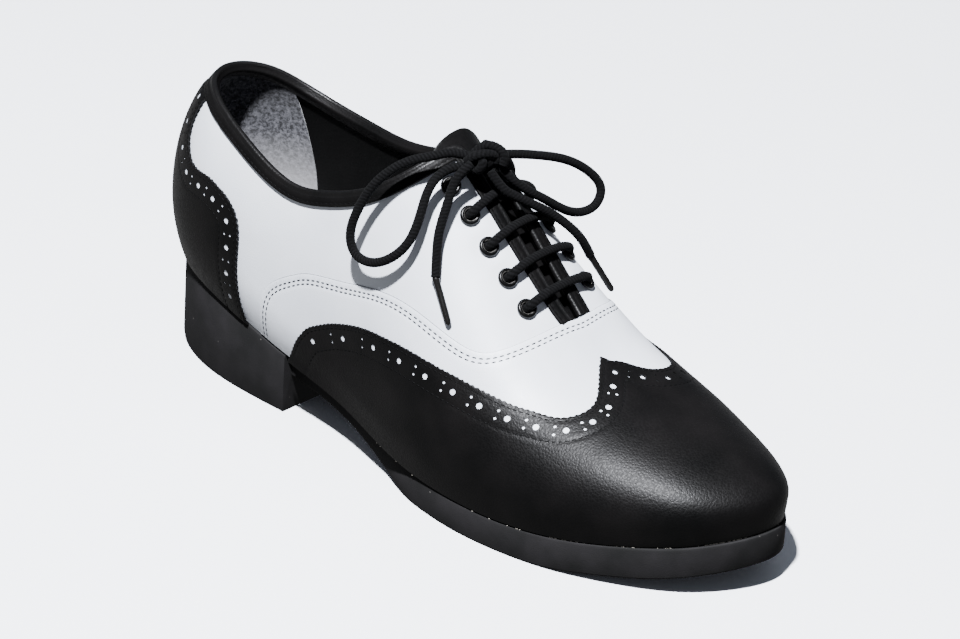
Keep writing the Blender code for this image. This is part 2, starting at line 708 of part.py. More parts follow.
def sole_levels(rows, places):
    """Rings of one stretch of the sole, from its top edge down to its chamfered bottom edge."""
    table = np.array(rows)
    levels = np.zeros((3, len(places), 2, 3))
    for i, place in enumerate(places):
        for k, side in enumerate((-1, 1)):
            x = outline_at(side, place)[0]
            bottom, out, chamfer = (np.interp(x, table[:, 0], table[:, c]) for c in (1, 2, 3))
            wide = beyond_feather(side, place, out)
            narrow = beyond_feather(side, place, out - chamfer)
            levels[0, i, k] = *wide, seat([x])[0] - GAP
            levels[1, i, k] = *wide, bottom + chamfer
            levels[2, i, k] = *narrow, bottom
    return levels


def make_sole(finish):
    """The moulded sole: a block heel, a waist set in behind it, and a flat forefoot with toe spring."""
    heel = [i / 8 for i in range(8)] + [place_of(x) for x in (0.034, 0.045, 0.056, 0.067, BREAST)]
    fore_stops = (BREAST + BREAST_LEAD, 0.086, 0.095, 0.105, 0.115, 0.125, 0.135, 0.145, 0.150, 0.160, 0.170, 0.180,
                  0.190, 0.200, 0.212, 0.222)
    fore = [place_of(x) for x in fore_stops] + [2 + i / 10 for i in range(1, 11)]
    levels = np.concatenate([sole_levels(HEEL_ROWS, heel), sole_levels(SOLE_ROWS, fore)], axis=1)
    return ring_solid("sole", levels, finish)


def make_insole(finish):
    """The insole inside the upper, lying along the sole."""
    places = places_along(6, (0.034, 0.055, 0.075, 0.092, 0.110, 0.130, 0.150, 0.170, 0.190, 0.208, 0.222), 6)
    levels = np.zeros((2, len(places), 2, 3))
    for i, place in enumerate(places):
        for k, side in enumerate((-1, 1)):
            plan = beyond_feather(side, place, -INSOLE_INSET)
            height = seat(plan[:1])[0]
            levels[0, i, k] = *plan, height + INSOLE_THICK
            levels[1, i, k] = *plan, height
    return ring_solid("insole", levels, finish)


def make_lace_bars(finish):
    """Straight lace bars across the throat, each dipping into its pair of eyelets."""
    for row in range(EYELET_ROWS):
        outer, inner = (eyelet_pattern(side, row) for side in (-1, 1))
        share = np.linspace(0, 1, 6)[:, None]
        over = on_last(outer * (1 - share) + inner * share, BAR_HEIGHT)
        ends = [on_last(spot, -BAR_DEPTH)[0] for spot in (outer, inner)]
        cord(f"lace_bar_{row + 1}", np.vstack([ends[:1], over, ends[1:]]), LACE_RADIUS, finish)


def make_knot(finish):
    """The knot of the bow, as the rounded lump that its turns make."""
    edit = bmesh.new()
    place = Matrix.Translation(KNOT_CENTRE) @ Matrix.Diagonal((*KNOT_HALF, 1))
    bmesh.ops.create_uvsphere(edit, u_segments=10, v_segments=6, radius=1, matrix=place)
    mesh = bpy.data.meshes.new("lace_knot")
    edit.to_mesh(mesh)
    edit.free()
    mesh.shade_smooth()
    return add_object("lace_knot", mesh, finish)


def free_lace(name, route, finish):
    """A free stretch of lace along a smooth curve through its route points."""
    length = np.linalg.norm(np.diff(smooth_path(route, 100), axis=0), axis=1).sum()
    return cord(name, smooth_path(route, round(length / CORD_STEP) + 1), LACE_RADIUS, finish)


def make_aglet(name, lace_end, tip, finish):
    """The stiff sleeve on a lace's end, just clear of the last of the lace."""
    start, tip = Vector(lace_end), Vector(tip)
    reach = (tip - start).normalized() * AGLET_CLEARANCE
    return cord(name, [start + reach, tip], AGLET_RADIUS, finish)


def make_bow(lace, sleeve):
    """The tied bow on the top bar; returns what it is made of."""
    return [
        make_knot(lace),
        free_lace("lace_loop_outer", OUTER_LOOP, lace),
        free_lace("lace_loop_inner", INNER_LOOP, lace),
        free_lace("lace_end_outer", OUTER_END, lace),
        free_lace("lace_end_inner", INNER_END, lace),
        make_aglet("aglet_outer", OUTER_END[-1], OUTER_AGLET_TIP, sleeve),
        make_aglet("aglet_inner", INNER_END[-1], INNER_AGLET_TIP, sleeve),
    ]


def clear_scene():
    """Start from an empty scene."""
    for old in list(bpy.data.objects):
        bpy.data.objects.remove(old, do_unlink=True)


def stand_on_origin(cords):
    """Move the whole shoe so that the middle of its footprint is the origin, its cords not counted."""
    bpy.context.view_layer.update()
    graph = bpy.context.evaluated_depsgraph_get()
    points = []
    for piece in bpy.context.scene.objects:
        if piece.type in {"MESH", "CURVE"} and not piece.hide_render and piece not in cords:
            mesh = piece.evaluated_get(graph).to_mesh()
            points += [vertex.co[:] for vertex in mesh.vertices]
    points = np.array(points)
    low, high = points.min(axis=0), points.max(axis=0)
    SHOE.location = (-(low[0] + high[0]) / 2, -(low[1] + high[1]) / 2, -low[2])


clear_scene()
SHOE = bpy.data.objects.new("shoe", None)
bpy.context.scene.collection.objects.link(SHOE)

WHITE_LEATHER = material("white_leather", (0.80, 0.81, 0.83), 0.45)
BLACK_LEATHER = material("black_leather", (0.012, 0.012, 0.013), 0.38)
BLACK_RUBBER = material("black_rubber", (0.018, 0.017, 0.017), 0.75)
INSOLE_FABRIC = material("insole_lining", (0.015, 0.015, 0.016), 0.85)
BLACK_ENAMEL = material("black_enamel_metal", (0.015, 0.015, 0.015), 0.30, 0.6)
BLACK_COTTON = material("black_cotton_lace", (0.010, 0.010, 0.010), 0.90)
AGLET_FILM = material("black_aglet_film", (0.012, 0.012, 0.012), 0.30)

make_sole(BLACK_RUBBER)
make_insole(INSOLE_FABRIC)
make_upper(WHITE_LEATHER)
make_tongue(BLACK_LEATHER)
make_wing_cap(BLACK_LEATHER)
make_heel_counter(BLACK_LEATHER)
make_binding(BLACK_LEATHER)
make_eyelets(BLACK_ENAMEL)
make_lace_bars(BLACK_COTTON)
stand_on_origin(cords=make_bow(BLACK_COTTON, AGLET_FILM))
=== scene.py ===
# %% [markdown]
# # A laced two-tone dance shoe
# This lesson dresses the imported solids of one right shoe: white leather quarters and vamp, a black winged
# toe cap and heel counter, a bound collar, a tied lace and a moulded rubber sole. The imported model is
# loaded first and stays where it is. Every piece that is made here lies on the same last as the solids do,
# so it needs no fitting. Lengths are metres. They are measured from the heel of the last, with +X to the
# toe, -Y to the outer side and +Z up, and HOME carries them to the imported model.

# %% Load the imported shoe
import math

import bpy
import numpy as np
from mathutils import Matrix, Vector, geometry, kdtree


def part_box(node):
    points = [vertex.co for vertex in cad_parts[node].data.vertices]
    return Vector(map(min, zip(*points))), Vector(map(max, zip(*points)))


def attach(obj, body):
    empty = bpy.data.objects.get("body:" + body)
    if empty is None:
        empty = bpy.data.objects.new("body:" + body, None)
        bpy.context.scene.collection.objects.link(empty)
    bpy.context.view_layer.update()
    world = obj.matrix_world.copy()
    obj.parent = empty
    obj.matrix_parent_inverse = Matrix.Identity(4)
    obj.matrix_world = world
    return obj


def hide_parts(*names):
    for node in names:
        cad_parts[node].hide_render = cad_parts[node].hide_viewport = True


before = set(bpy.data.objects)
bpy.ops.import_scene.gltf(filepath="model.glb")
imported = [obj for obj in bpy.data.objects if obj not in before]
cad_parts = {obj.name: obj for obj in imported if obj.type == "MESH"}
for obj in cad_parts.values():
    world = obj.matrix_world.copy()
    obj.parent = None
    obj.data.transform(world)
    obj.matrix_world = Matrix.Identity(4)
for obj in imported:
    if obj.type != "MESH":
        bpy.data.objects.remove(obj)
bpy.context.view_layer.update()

KNOT_CENTRE = np.array((0.1398, -0.0048, 0.1162))
low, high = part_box("lace_knot")
HOME = np.array((low + high) / 2) - KNOT_CENTRE
print("nodes:", len(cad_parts), "shift from the heel to the middle of the footprint:", HOME.round(5))

# %% [markdown]
# ## The camera
# The photograph was taken from a standing height with a long lens, so its lines hardly converge. A 175 mm
# lens on a 36 mm sensor at 1.64 m gives the same, with the shoe in the middle of the picture. The camera's
# axes are worked out from its two angles, and turned a little about its line of sight, as the photograph
# is.

# %% Camera
VIEW_TARGET = np.array((0.1378, 0.0008, 0.0510))
VIEW_DISTANCE = 1.640
LENS_MM, SENSOR_MM = 175, 36
azimuth, elevation, roll = (math.radians(a) for a in (41.0, 28.0, 3.6))

in_plan = math.cos(elevation)
back = Vector((math.sin(azimuth) * in_plan, -math.cos(azimuth) * in_plan, math.sin(elevation)))
level = (-back).cross(Vector((0, 0, 1))).normalized()
upright = level.cross(-back)
right = level * math.cos(roll) + upright * math.sin(roll)
up = upright * math.cos(roll) - level * math.sin(roll)

bpy.ops.object.camera_add()
camera = bpy.context.object
camera.name = "photo_camera"
camera.data.lens = LENS_MM
camera.data.sensor_width = SENSOR_MM
turn = Matrix((right, up, back)).transposed().to_4x4()
camera.matrix_world = Matrix.Translation(Vector(VIEW_TARGET + HOME) + back * VIEW_DISTANCE) @ turn
bpy.context.scene.camera = camera
print("camera at", [round(c, 3) for c in camera.location])

# %% [markdown]
# ## Smooth curves
# Most shapes here are smooth lines through a few chosen points, as a spline weight bends a batten through
# pins. A natural cubic does that with a small linear system, for one value or for whole points.

# %% Cubic curves
def cubic(knots, values, closed=False):
    """A smooth curve through the values at the knots, running round where it is closed."""
    t = np.asarray(knots, float)
    y = np.asarray(values, float).reshape(len(t), -1)
    h = np.diff(t)
    slope = np.diff(y, axis=0) / h[:, None]
    system = np.zeros((len(t), len(t)))
    target = np.zeros_like(y)
    for i in range(1, len(t) - 1):
        system[i, i - 1:i + 2] = h[i - 1], 2 * (h[i - 1] + h[i]), h[i]
        target[i] = 6 * (slope[i] - slope[i - 1])
    if closed:
        system[0, [0, -1]] = 1, -1
        system[-1, [0, 1, -2, -1]] = 2 * h[0], h[0], h[-1], 2 * h[-1]
        target[-1] = 6 * (slope[0] - slope[-1])
    else:
        system[0, 0] = system[-1, -1] = 1
    bend = np.linalg.solve(system, target)

    def at(where):
        q = np.atleast_1d(np.asarray(where, float))
        i = np.clip(np.searchsorted(t, q, side="right") - 1, 0, len(t) - 2)
        left, right, step = (t[i + 1] - q)[:, None], (q - t[i])[:, None], h[i][:, None]
        curve = (bend[i] * left ** 3 + bend[i + 1] * right ** 3) / (6 * step)
        from_left, from_right = (y[k] / step - bend[k] * step / 6 for k in (i, i + 1))
        return curve + (from_left * left + from_right * right)

    return at


def column(rows, index):
    """One column of a table as a smooth function of its first column."""
    table = np.array(rows)
    curve = cubic(table[:, 0], table[:, index])
    return lambda x: curve(np.clip(x, table[0, 0], table[-1, 0]))[:, 0]


def lengths(points):
    """Distance run along a line of points, from its start to each of them."""
    steps = np.linalg.norm(np.diff(points, axis=0), axis=1)
    return np.concatenate([[0.0], np.cumsum(steps)])


DENSE_POINTS = 1500


def smooth_path(points, count):
    """Evenly spaced points on a smooth curve through a few route points."""
    points = np.asarray(points, float)
    knots = np.concatenate([[0.0], np.cumsum(np.sqrt(np.linalg.norm(np.diff(points, axis=0), axis=1)))])
    dense = cubic(knots, points)(np.linspace(0, knots[-1], DENSE_POINTS))
    run = lengths(dense)
    even = np.linspace(0, run[-1], count)
    return np.column_stack([np.interp(even, run, dense[:, k]) for k in range(points.shape[1])])

# %% [markdown]
# ## The last
# A shoemaker pulls flat leather over a last, a solid foot shape. Here the last is a plan outline and a
# table of what its cross-sections measure, the same tables that the solids were made from. A pattern point
# is a place on flat leather: the middle line of the instep stays where it is in plan, and the feather
# line, where the upper meets the sole, is the plan outline. on_last carries pattern points to the last, so
# each panel can be drawn flat.

# %% Tables of the last
PLAN_ROWS = (
    # from_heel, outer_y, inner_y
    (-0.0032, 0.0000, 0.0000), (0.0060, -0.0200, 0.0187), (0.0300, -0.0325, 0.0315),
    (0.0650, -0.0350, 0.0320), (0.1050, -0.0360, 0.0280), (0.1400, -0.0435, 0.0330),
    (0.1700, -0.0473, 0.0390), (0.1950, -0.0458, 0.0425), (0.2200, -0.0395, 0.0405),
    (0.2450, -0.0275, 0.0320), (0.2600, -0.0145, 0.0225), (0.2690, 0.0080, 0.0080),
)
HEEL_CENTRE = 0.034
TOE_CENTRE = 0.222
SECTION_ROWS = (
    # from_heel, seat, bulge, tuck, ridge, spine_y, outer_square, inner_square
    (-0.004, 0.0350, 0.0260, 0.0052, 0.1135, 0.0000, 2.20, 2.20),
    (0.034, 0.0330, 0.0240, 0.0046, 0.1150, 0.0000, 2.20, 2.20),
    (0.072, 0.0240, 0.0185, 0.0034, 0.1240, 0.0008, 2.15, 2.15),
    (0.110, 0.0170, 0.0148, 0.0034, 0.1250, 0.0018, 2.10, 2.15),
    (0.130, 0.0138, 0.0135, 0.0033, 0.1130, 0.0022, 2.05, 2.25),
    (0.150, 0.0121, 0.0120, 0.0030, 0.0945, 0.0025, 2.00, 2.42),
    (0.170, 0.0116, 0.0108, 0.0027, 0.0755, 0.0027, 2.00, 2.90),
    (0.190, 0.0116, 0.0101, 0.0025, 0.0600, 0.0030, 2.05, 3.00),
    (0.210, 0.0125, 0.0095, 0.0025, 0.0515, 0.0036, 2.15, 2.85),
    (0.230, 0.0148, 0.0090, 0.0025, 0.0465, 0.0040, 2.25, 2.55),
    (0.250, 0.0180, 0.0090, 0.0025, 0.0430, 0.0040, 2.30, 2.35),
    (0.272, 0.0224, 0.0090, 0.0025, 0.0400, 0.0040, 2.30, 2.30),
)
BULGE_RISE = 0.15
seat, bulge, tuck, ridge, spine, outer_square, inner_square = (column(SECTION_ROWS, k) for k in range(1, 8))

# %% Outline of the last, and the fans of sections round its heel and toe
OUTLINE_POINTS = 4001


def plan_outline():
    """Dense points of the plan outline from heel back to toe, outer side and inner side."""
    rows = np.array(PLAN_ROWS)
    ring = np.vstack([rows[:, [0, 1]], rows[-2:0:-1][:, [0, 2]], rows[:1, [0, 1]]])
    knots = np.concatenate([[0.0], np.cumsum(np.sqrt(np.hypot(*np.diff(ring, axis=0).T)))])
    dense = cubic(knots, ring, closed=True)(np.linspace(0, knots[-1], OUTLINE_POINTS))
    tip, back = dense[:, 0].argmax(), dense[:, 0].argmin()
    dense = np.roll(dense[:-1], -back, axis=0)
    tip = (tip - back) % len(dense)
    return {-1: dense[:tip + 1], 1: np.vstack([dense[tip:], dense[:1]])[::-1]}


def centre(x):
    """The point of the last's middle line that the section through x turns about."""
    middle = np.clip(x, HEEL_CENTRE, TOE_CENTRE)
    return np.stack([middle, spine(middle)], axis=-1)


def fan(end):
    """Outline points round the heel or the toe, with their angles off the middle line, outer side first."""
    points = np.vstack([OUTLINE[-1], OUTLINE[1]])
    forward = 1 if end == TOE_CENTRE else -1
    points = points[(points[:, 0] - end) * forward >= 0]
    away = points - centre(np.array([end]))[0]
    angle = np.arctan2(away[:, 1], away[:, 0] * forward)
    order = angle.argsort()
    return angle[order], points[order]


OUTLINE = plan_outline()
FANS = {end: fan(end) for end in (HEEL_CENTRE, TOE_CENTRE)}


def place_of(x):
    """Place along the outline beside a distance from the heel: 1 at the heel's hub, 2 at the toe's."""
    return 1 + (x - HEEL_CENTRE) / (TOE_CENTRE - HEEL_CENTRE)


def outline_at(side, places):
    """Outline points for places: 0 heel back to 1 beside the heel, 2 beside the toe, 3 toe tip."""
    places = np.atleast_1d(np.asarray(places, float))
    found = np.empty((len(places), 2))
    x = HEEL_CENTRE + (TOE_CENTRE - HEEL_CENTRE) * (places - 1)
    beside = (places >= 1) & (places <= 2)
    found[beside] = np.column_stack([x[beside], np.interp(x[beside], *OUTLINE[side].T)])
    for end, turn, here in ((HEEL_CENTRE, places, places < 1), (TOE_CENTRE, 3 - places, places > 2)):
        angle, points = FANS[end]
        tip = angle[np.abs(points[:, 0] - end).argmax()]
        q = tip + (side * math.pi / 2 - tip) * turn[here]
        found[here] = np.column_stack([np.interp(q, angle, points[:, k]) for k in (0, 1)])
    return found

# %% From flat pattern to last
def locate(pattern):
    """Outline point and rise (0 feather, 1 ridge) of the section that each pattern point lies on."""
    hub = centre(pattern[:, 0])
    away = pattern - hub
    foot = np.empty_like(pattern)
    for side in (-1, 1):
        here = (away[:, 1] < 0) == (side < 0)
        foot[here, 0] = pattern[here, 0]
        foot[here, 1] = np.interp(pattern[here, 0], *OUTLINE[side].T)
    for end, here in ((HEEL_CENTRE, pattern[:, 0] < HEEL_CENTRE), (TOE_CENTRE, pattern[:, 0] > TOE_CENTRE)):
        angle, points = FANS[end]
        q = np.arctan2(away[here, 1], np.abs(away[here, 0]))
        foot[here] = np.column_stack([np.interp(q, angle, points[:, k]) for k in (0, 1)])
    return foot, 1 - np.hypot(*away.T) / np.hypot(*(foot - hub).T)


def skin(foot, rise):
    """Points of the last's surface on the sections through the outline points, at their rises."""
    rise = np.broadcast_to(np.asarray(rise, float), len(foot))
    x = foot[:, 0]
    hub = centre(x)
    reach = np.hypot(*(foot - hub).T)
    below = np.clip(1 - rise / BULGE_RISE, 0, None)
    turn = np.clip((rise - BULGE_RISE) / (1 - BULGE_RISE), 0, 1) * math.pi / 2
    square = np.where(foot[:, 1] < hub[:, 1], outer_square(x), inner_square(x))
    out = reach * np.cos(turn) ** (2 / square) - tuck(x) * below ** 2
    plan = hub + (foot - hub) / reach[:, None] * out[:, None]
    widest = seat(x) + bulge(x)
    top = ridge(np.maximum(plan[:, 0], HEEL_CENTRE))
    z = np.where(rise < BULGE_RISE, widest - bulge(x) * below, widest + (top - widest) * np.sin(turn))
    return np.column_stack([plan, z])


def axes_at(pattern):
    """How the last runs along and across at pattern points, and its outward normal there."""
    step = 0.0002
    along = (skin(*locate(pattern + (step, 0))) - skin(*locate(pattern - (step, 0)))) / (2 * step)
    across = (skin(*locate(pattern + (0, step))) - skin(*locate(pattern - (0, step)))) / (2 * step)
    normal = np.cross(along, across)
    return along, across, normal / np.linalg.norm(normal, axis=1)[:, None]


def on_last(pattern, lift=0.0):
    """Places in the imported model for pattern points, lifted off the last along its normal."""
    pattern = np.atleast_2d(pattern)
    return skin(*locate(pattern)) + axes_at(pattern)[2] * np.reshape(lift, (-1, 1)) + HOME


def pattern_at(side, places, rises):
    """Pattern points at places along the outline and rises up the last."""
    foot = outline_at(side, places)
    hub = centre(foot[:, 0])
    return hub + (foot - hub) * (1 - np.reshape(rises, (-1, 1)))


print("last: toe tip at", OUTLINE[-1][-1].round(4))
print("ridge over the instep:", round(float(ridge([0.11])[0]), 4))

# %% [markdown]
# ## Moving about on the last
# Stitch rows and punched holes keep their real distance from a cut edge, whatever the slope of the last.
# So a pattern point is moved by a direction in space: a small two by two system says how far that is on
# the flat pattern.

# %% Distances on the last
def slide(pattern, direction, distance, steps=6):
    """Pattern points moved that far over the last, each in its own direction in space."""
    for _ in range(steps):
        along, across, normal = axes_at(pattern)
        direction = direction - normal * (direction * normal).sum(1)[:, None]
        direction = direction / np.linalg.norm(direction, axis=1)[:, None]
        aa, cc, ac = ((p * q).sum(1) for p, q in ((along, along), (across, across), (along, across)))
        ad, cd = (along * direction).sum(1), (across * direction).sum(1)
        move = np.column_stack([cc * ad - ac * cd, aa * cd - ac * ad]) / (aa * cc - ac * ac)[:, None]
        pattern = pattern + move * np.reshape(distance, (-1, 1)) / steps
    return pattern


def rightward(line):
    """Directions in space that point off a line of pattern points to its right, along the last."""
    tangent = np.gradient(on_last(line), axis=0)
    return np.cross(tangent, axes_at(line)[2])


def nearest(points, line):
    """Distance from each point in space to the nearest point of a line."""
    tree = kdtree.KDTree(len(line))
    for i, point in enumerate(line):
        tree.insert(point, i)
    tree.balance()
    return np.array([tree.find(point)[2] for point in points])


def resampled(line, spacing):
    """A line of pattern points made even, with about that spacing on the last."""
    run = lengths(on_last(line))
    even = np.linspace(0, run[-1], max(2, round(run[-1] / spacing) + 1))
    return np.column_stack([np.interp(even, run, line[:, k]) for k in (0, 1)])


MITRED = 0.97


def beside(line, distance):
    """Pattern points at a distance to the right of a line, mitred where that line turns sharply."""
    moved = slide(line, rightward(line), distance)
    clear = nearest(on_last(moved), on_last(line)) > MITRED * distance
    return moved[clear]


def mirrored(pattern):
    """Outer-side pattern points carried to the inner side, in step with the last's width there."""
    middle = np.clip(pattern[:, 0], HEEL_CENTRE, TOE_CENTRE)
    hub_y = spine(middle)
    outer, inner = (outline_at(side, place_of(middle))[:, 1] - hub_y for side in (-1, 1))
    return np.column_stack([pattern[:, 0], hub_y + (pattern[:, 1] - hub_y) * inner / outer])


def both_sides(half):
    """A line down the outer side to the middle, carried on along the inner side."""
    return np.vstack([half, mirrored(half)[-2::-1]])

# %% [markdown]
# ## Pieces and their finishes
# Each piece is a mesh object at the world origin with its place in its vertices, as the imported nodes are.
# It rides on the shoe's one body and hides the solids that it stands for. A finish is a node material on
# Object coordinates, so that its pattern has the same size in millimetres on every piece.

# %% Helpers for pieces
def only(piece):
    """Make a piece the only selected one, so that operators act on it alone."""
    bpy.ops.object.select_all(action="DESELECT")
    piece.select_set(True)
    bpy.context.view_layer.objects.active = piece


def mesh_piece(name, verts, faces, *finishes):
    """A smooth mesh object from points and faces."""
    mesh = bpy.data.meshes.new(name)
    mesh.from_pydata(np.asarray(verts, float).tolist(), [], [tuple(int(v) for v in face) for face in faces])
    piece = bpy.data.objects.new(name, mesh)
    bpy.context.scene.collection.objects.link(piece)
    for finish in finishes:
        mesh.materials.append(finish)
    mesh.shade_smooth()
    return piece


def edit(piece, *steps):
    """Run mesh operators, each a name and its settings, on the whole of a piece in edit mode."""
    only(piece)
    bpy.ops.object.mode_set(mode="EDIT")
    bpy.ops.mesh.select_all(action="SELECT")
    for name, settings in steps:
        getattr(bpy.ops.mesh, name)(**settings)
    bpy.ops.object.mode_set(mode="OBJECT")


def modify(piece, kind, **settings):
    """Add a modifier to a piece and apply it."""
    only(piece)
    made = piece.modifiers.new(kind.lower(), kind)
    for name, value in settings.items():
        setattr(made, name, value)
    bpy.ops.object.modifier_apply(modifier=made.name)


def put_on_shoe(piece, slot, *nodes):
    """A finished piece rides on the shoe and stands for the named solids, which it hides. The slot is not
    used.
    """
    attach(piece, "root")
    if nodes:
        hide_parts(*nodes)
    print(piece.name, "-", sum(len(face.vertices) - 2 for face in piece.data.polygons), "triangles")


def grid_faces(rows, columns, around=False):
    """Quads of a grid of points stored row by row; its rows may close on themselves."""
    last = columns if around else columns - 1
    return [
        (r * columns + c, r * columns + (c + 1) % columns,
         (r + 1) * columns + (c + 1) % columns, (r + 1) * columns + c)
        for r in range(rows - 1) for c in range(last)
    ]

# %% Helpers for materials
def linear(code):
    """An sRGB hex colour as linear RGBA."""
    parts = [int(code[i:i + 2], 16) / 255 for i in (0, 2, 4)]
    return (*(c / 12.92 if c <= 0.04045 else ((c + 0.055) / 1.055) ** 2.4 for c in parts), 1.0)


def new_material(name):
    """A node material with its Principled shader."""
    made = bpy.data.materials.new(name)
    made.use_nodes = True
    print("finish:", name)
    return made, made.node_tree.nodes["Principled BSDF"]


def feed(owner, node, inputs):
    """Give a node its inputs: each is a value, or a socket that it is linked from."""
    for key, value in inputs.items():
        if isinstance(value, bpy.types.NodeSocket):
            owner.node_tree.links.new(value, node.inputs[key])
        else:
            node.inputs[key].default_value = value


def add_node(owner, kind, inputs, **settings):
    """Add a node with its settings and its inputs."""
    made = owner.node_tree.nodes.new(kind)
    for name, value in settings.items():
        setattr(made, name, value)
    feed(owner, made, inputs)
    return made


def per_mm(size):
    """Texture scale that makes one cell or wave of a pattern that many millimetres."""
    return 1000 / size

# %% [markdown]
# ## The lace
# The lace is a round cord braided from black cotton. The braid shows as low ribs that meet in small Vs
# along the cord, so the tube carries them as relief. An attribute tells the finish where a rib is, because
# ribs rub paler than the hollows between them, and the yarn is a fine bump over both. The routes of the
# bow are the ones that the solids follow: two loops and two ends that leave one knot.

# %% Braided cotton
def braided_cotton():
    """Dull black yarn: almost no gloss, a soft sheen of loose fibres, paler where the ribs are rubbed."""
    made, shader = new_material("braided_cotton")
    place = add_node(made, "ShaderNodeTexCoord", {}).outputs["Object"]
    rib = add_node(made, "ShaderNodeAttribute", {}, attribute_name="rib").outputs["Fac"]
    # The yarn is about 0.2 mm thick, and is drawn at 0.6 mm so that it shows
    yarn = add_node(made, "ShaderNodeTexNoise", {"Vector": place, "Scale": per_mm(0.6), "Detail": 3.0})
    yarn = yarn.outputs["Fac"]
    worn = add_node(made, "ShaderNodeMath", {0: rib, 1: yarn}, operation="MULTIPLY")
    tone = add_node(made, "ShaderNodeValToRGB", {"Fac": worn.outputs[0]})
    tone.color_ramp.elements[0].color = linear("030303")
    tone.color_ramp.elements[1].color = linear("101011")
    tone.color_ramp.elements[0].position = 0.08
    tone.color_ramp.elements[1].position = 0.72
    fuzz = add_node(made, "ShaderNodeBump", {"Height": yarn, "Distance": 0.0003, "Strength": 0.8})
    feed(made, shader, {
        "Base Color": tone.outputs["Color"], "Normal": fuzz.outputs["Normal"], "Roughness": 0.92,
        "Specular IOR Level": 0.04, "Sheen Weight": 0.01, "Sheen Roughness": 0.5,
    })
    return made


COTTON = braided_cotton()

# %% Lace tubes
LACE_RADIUS = 0.00165
LACE_SIDES = 20
LACE_STEP = 0.00032
BRAID_PITCH = 0.0013
RIB_HEIGHT, RIB_SUNK, RIB_SLANT = 0.00010, 0.8, 1.6
NEARLY_UPRIGHT = 0.1


def carried_frames(path):
    """Two directions across a path at each of its points, carried along it without twist."""
    tangent = np.gradient(path, axis=0)
    tangent /= np.linalg.norm(tangent, axis=1)[:, None]
    first = np.cross(tangent[0], (0.0, 0.0, 1.0))
    if np.linalg.norm(first) < NEARLY_UPRIGHT:
        first = np.cross(tangent[0], (0.0, 1.0, 0.0))
    sides = [first / np.linalg.norm(first)]
    for t in tangent[1:]:
        moved = sides[-1] - t * np.dot(sides[-1], t)
        sides.append(moved / np.linalg.norm(moved))
    sides = np.array(sides)
    return sides, np.cross(tangent, sides)


def lace_tube(name, route):
    """A braided cord along a smooth curve through its route, and the line that it follows."""
    route = np.asarray(route) + HOME
    run = lengths(smooth_path(route, 400))[-1]
    path = smooth_path(route, round(run / LACE_STEP))
    side, other = carried_frames(path)
    turn = np.linspace(0, 2 * math.pi, LACE_SIDES, endpoint=False)[None]
    along = lengths(path)[:, None] / BRAID_PITCH * math.pi
    zigzag = np.abs(((turn * 2 / math.pi) % 2) - 1)
    rib = np.abs(np.sin(along + RIB_SLANT * zigzag * math.pi / 2))
    reach = LACE_RADIUS + RIB_HEIGHT * (rib - RIB_SUNK)
    ring = np.cos(turn)[..., None] * side[:, None] + np.sin(turn)[..., None] * other[:, None]
    verts = path[:, None] + ring * reach[..., None]
    faces = grid_faces(len(path), LACE_SIDES, around=True)
    faces.append(tuple(range(LACE_SIDES))[::-1])
    faces.append(tuple(range(LACE_SIDES * (len(path) - 1), LACE_SIDES * len(path))))
    piece = mesh_piece(name, verts.reshape(-1, 3), faces, COTTON)
    relief = piece.data.attributes.new("rib", "FLOAT", "POINT")
    relief.data.foreach_set("value", rib.reshape(-1).astype(np.float32))
    edit(piece, ("normals_make_consistent", {}))
    return piece, path

# %% Loops and ends of the bow
OUTER_LOOP = (
    (0.1368, -0.0096, 0.1180), (0.1325, -0.0140, 0.1190), (0.1283, -0.0194, 0.1178),
    (0.1233, -0.0244, 0.1158), (0.1159, -0.0314, 0.1082), (0.1110, -0.0360, 0.0964),
    (0.1098, -0.0380, 0.0868), (0.1132, -0.0388, 0.0812), (0.1214, -0.0390, 0.0808),
    (0.1297, -0.0374, 0.0858), (0.1336, -0.0337, 0.0923), (0.1335, -0.0290, 0.1002),
    (0.1325, -0.0247, 0.1073), (0.1330, -0.0202, 0.1123), (0.1350, -0.0152, 0.1146),
    (0.1378, -0.0106, 0.1146),
)
INNER_LOOP = (
    (0.1408, 0.0022, 0.1162), (0.1422, 0.0083, 0.1150), (0.1462, 0.0199, 0.1121), (0.1502, 0.0300, 0.1080),
    (0.1541, 0.0371, 0.1021), (0.1566, 0.0391, 0.0969), (0.1575, 0.0360, 0.0924), (0.1568, 0.0298, 0.0911),
    (0.1556, 0.0215, 0.0942), (0.1533, 0.0128, 0.1004), (0.1510, 0.0079, 0.1039), (0.1472, 0.0030, 0.1086),
    (0.1426, -0.0005, 0.1140),
)
OUTER_END = (
    (0.1408, -0.0122, 0.1172), (0.1396, -0.0162, 0.1144), (0.1388, -0.0188, 0.1100),
    (0.1393, -0.0224, 0.1029), (0.1403, -0.0264, 0.0949), (0.1424, -0.0292, 0.0872),
    (0.1446, -0.0316, 0.0816),
)
INNER_END = (
    (0.1431, -0.0050, 0.1131), (0.1478, -0.0025, 0.1071), (0.1500, 0.0001, 0.1048),
    (0.1543, 0.0058, 0.1010), (0.1588, 0.0130, 0.0957), (0.1644, 0.0194, 0.0882),
    (0.1664, 0.0242, 0.0796),
)
OUTER_AGLET_TIP = (0.1552, -0.0352, 0.0684)
INNER_AGLET_TIP = (0.1736, 0.0291, 0.0667)
BOW_ROUTES = {
    "loop_outer": OUTER_LOOP, "loop_inner": INNER_LOOP, "end_outer": OUTER_END, "end_inner": INNER_END,
}
bow = {}
for word, route in BOW_ROUTES.items():
    bow[word] = lace_tube("braided_" + word, route)
    put_on_shoe(bow[word][0], "lace_cotton", "lace_" + word)

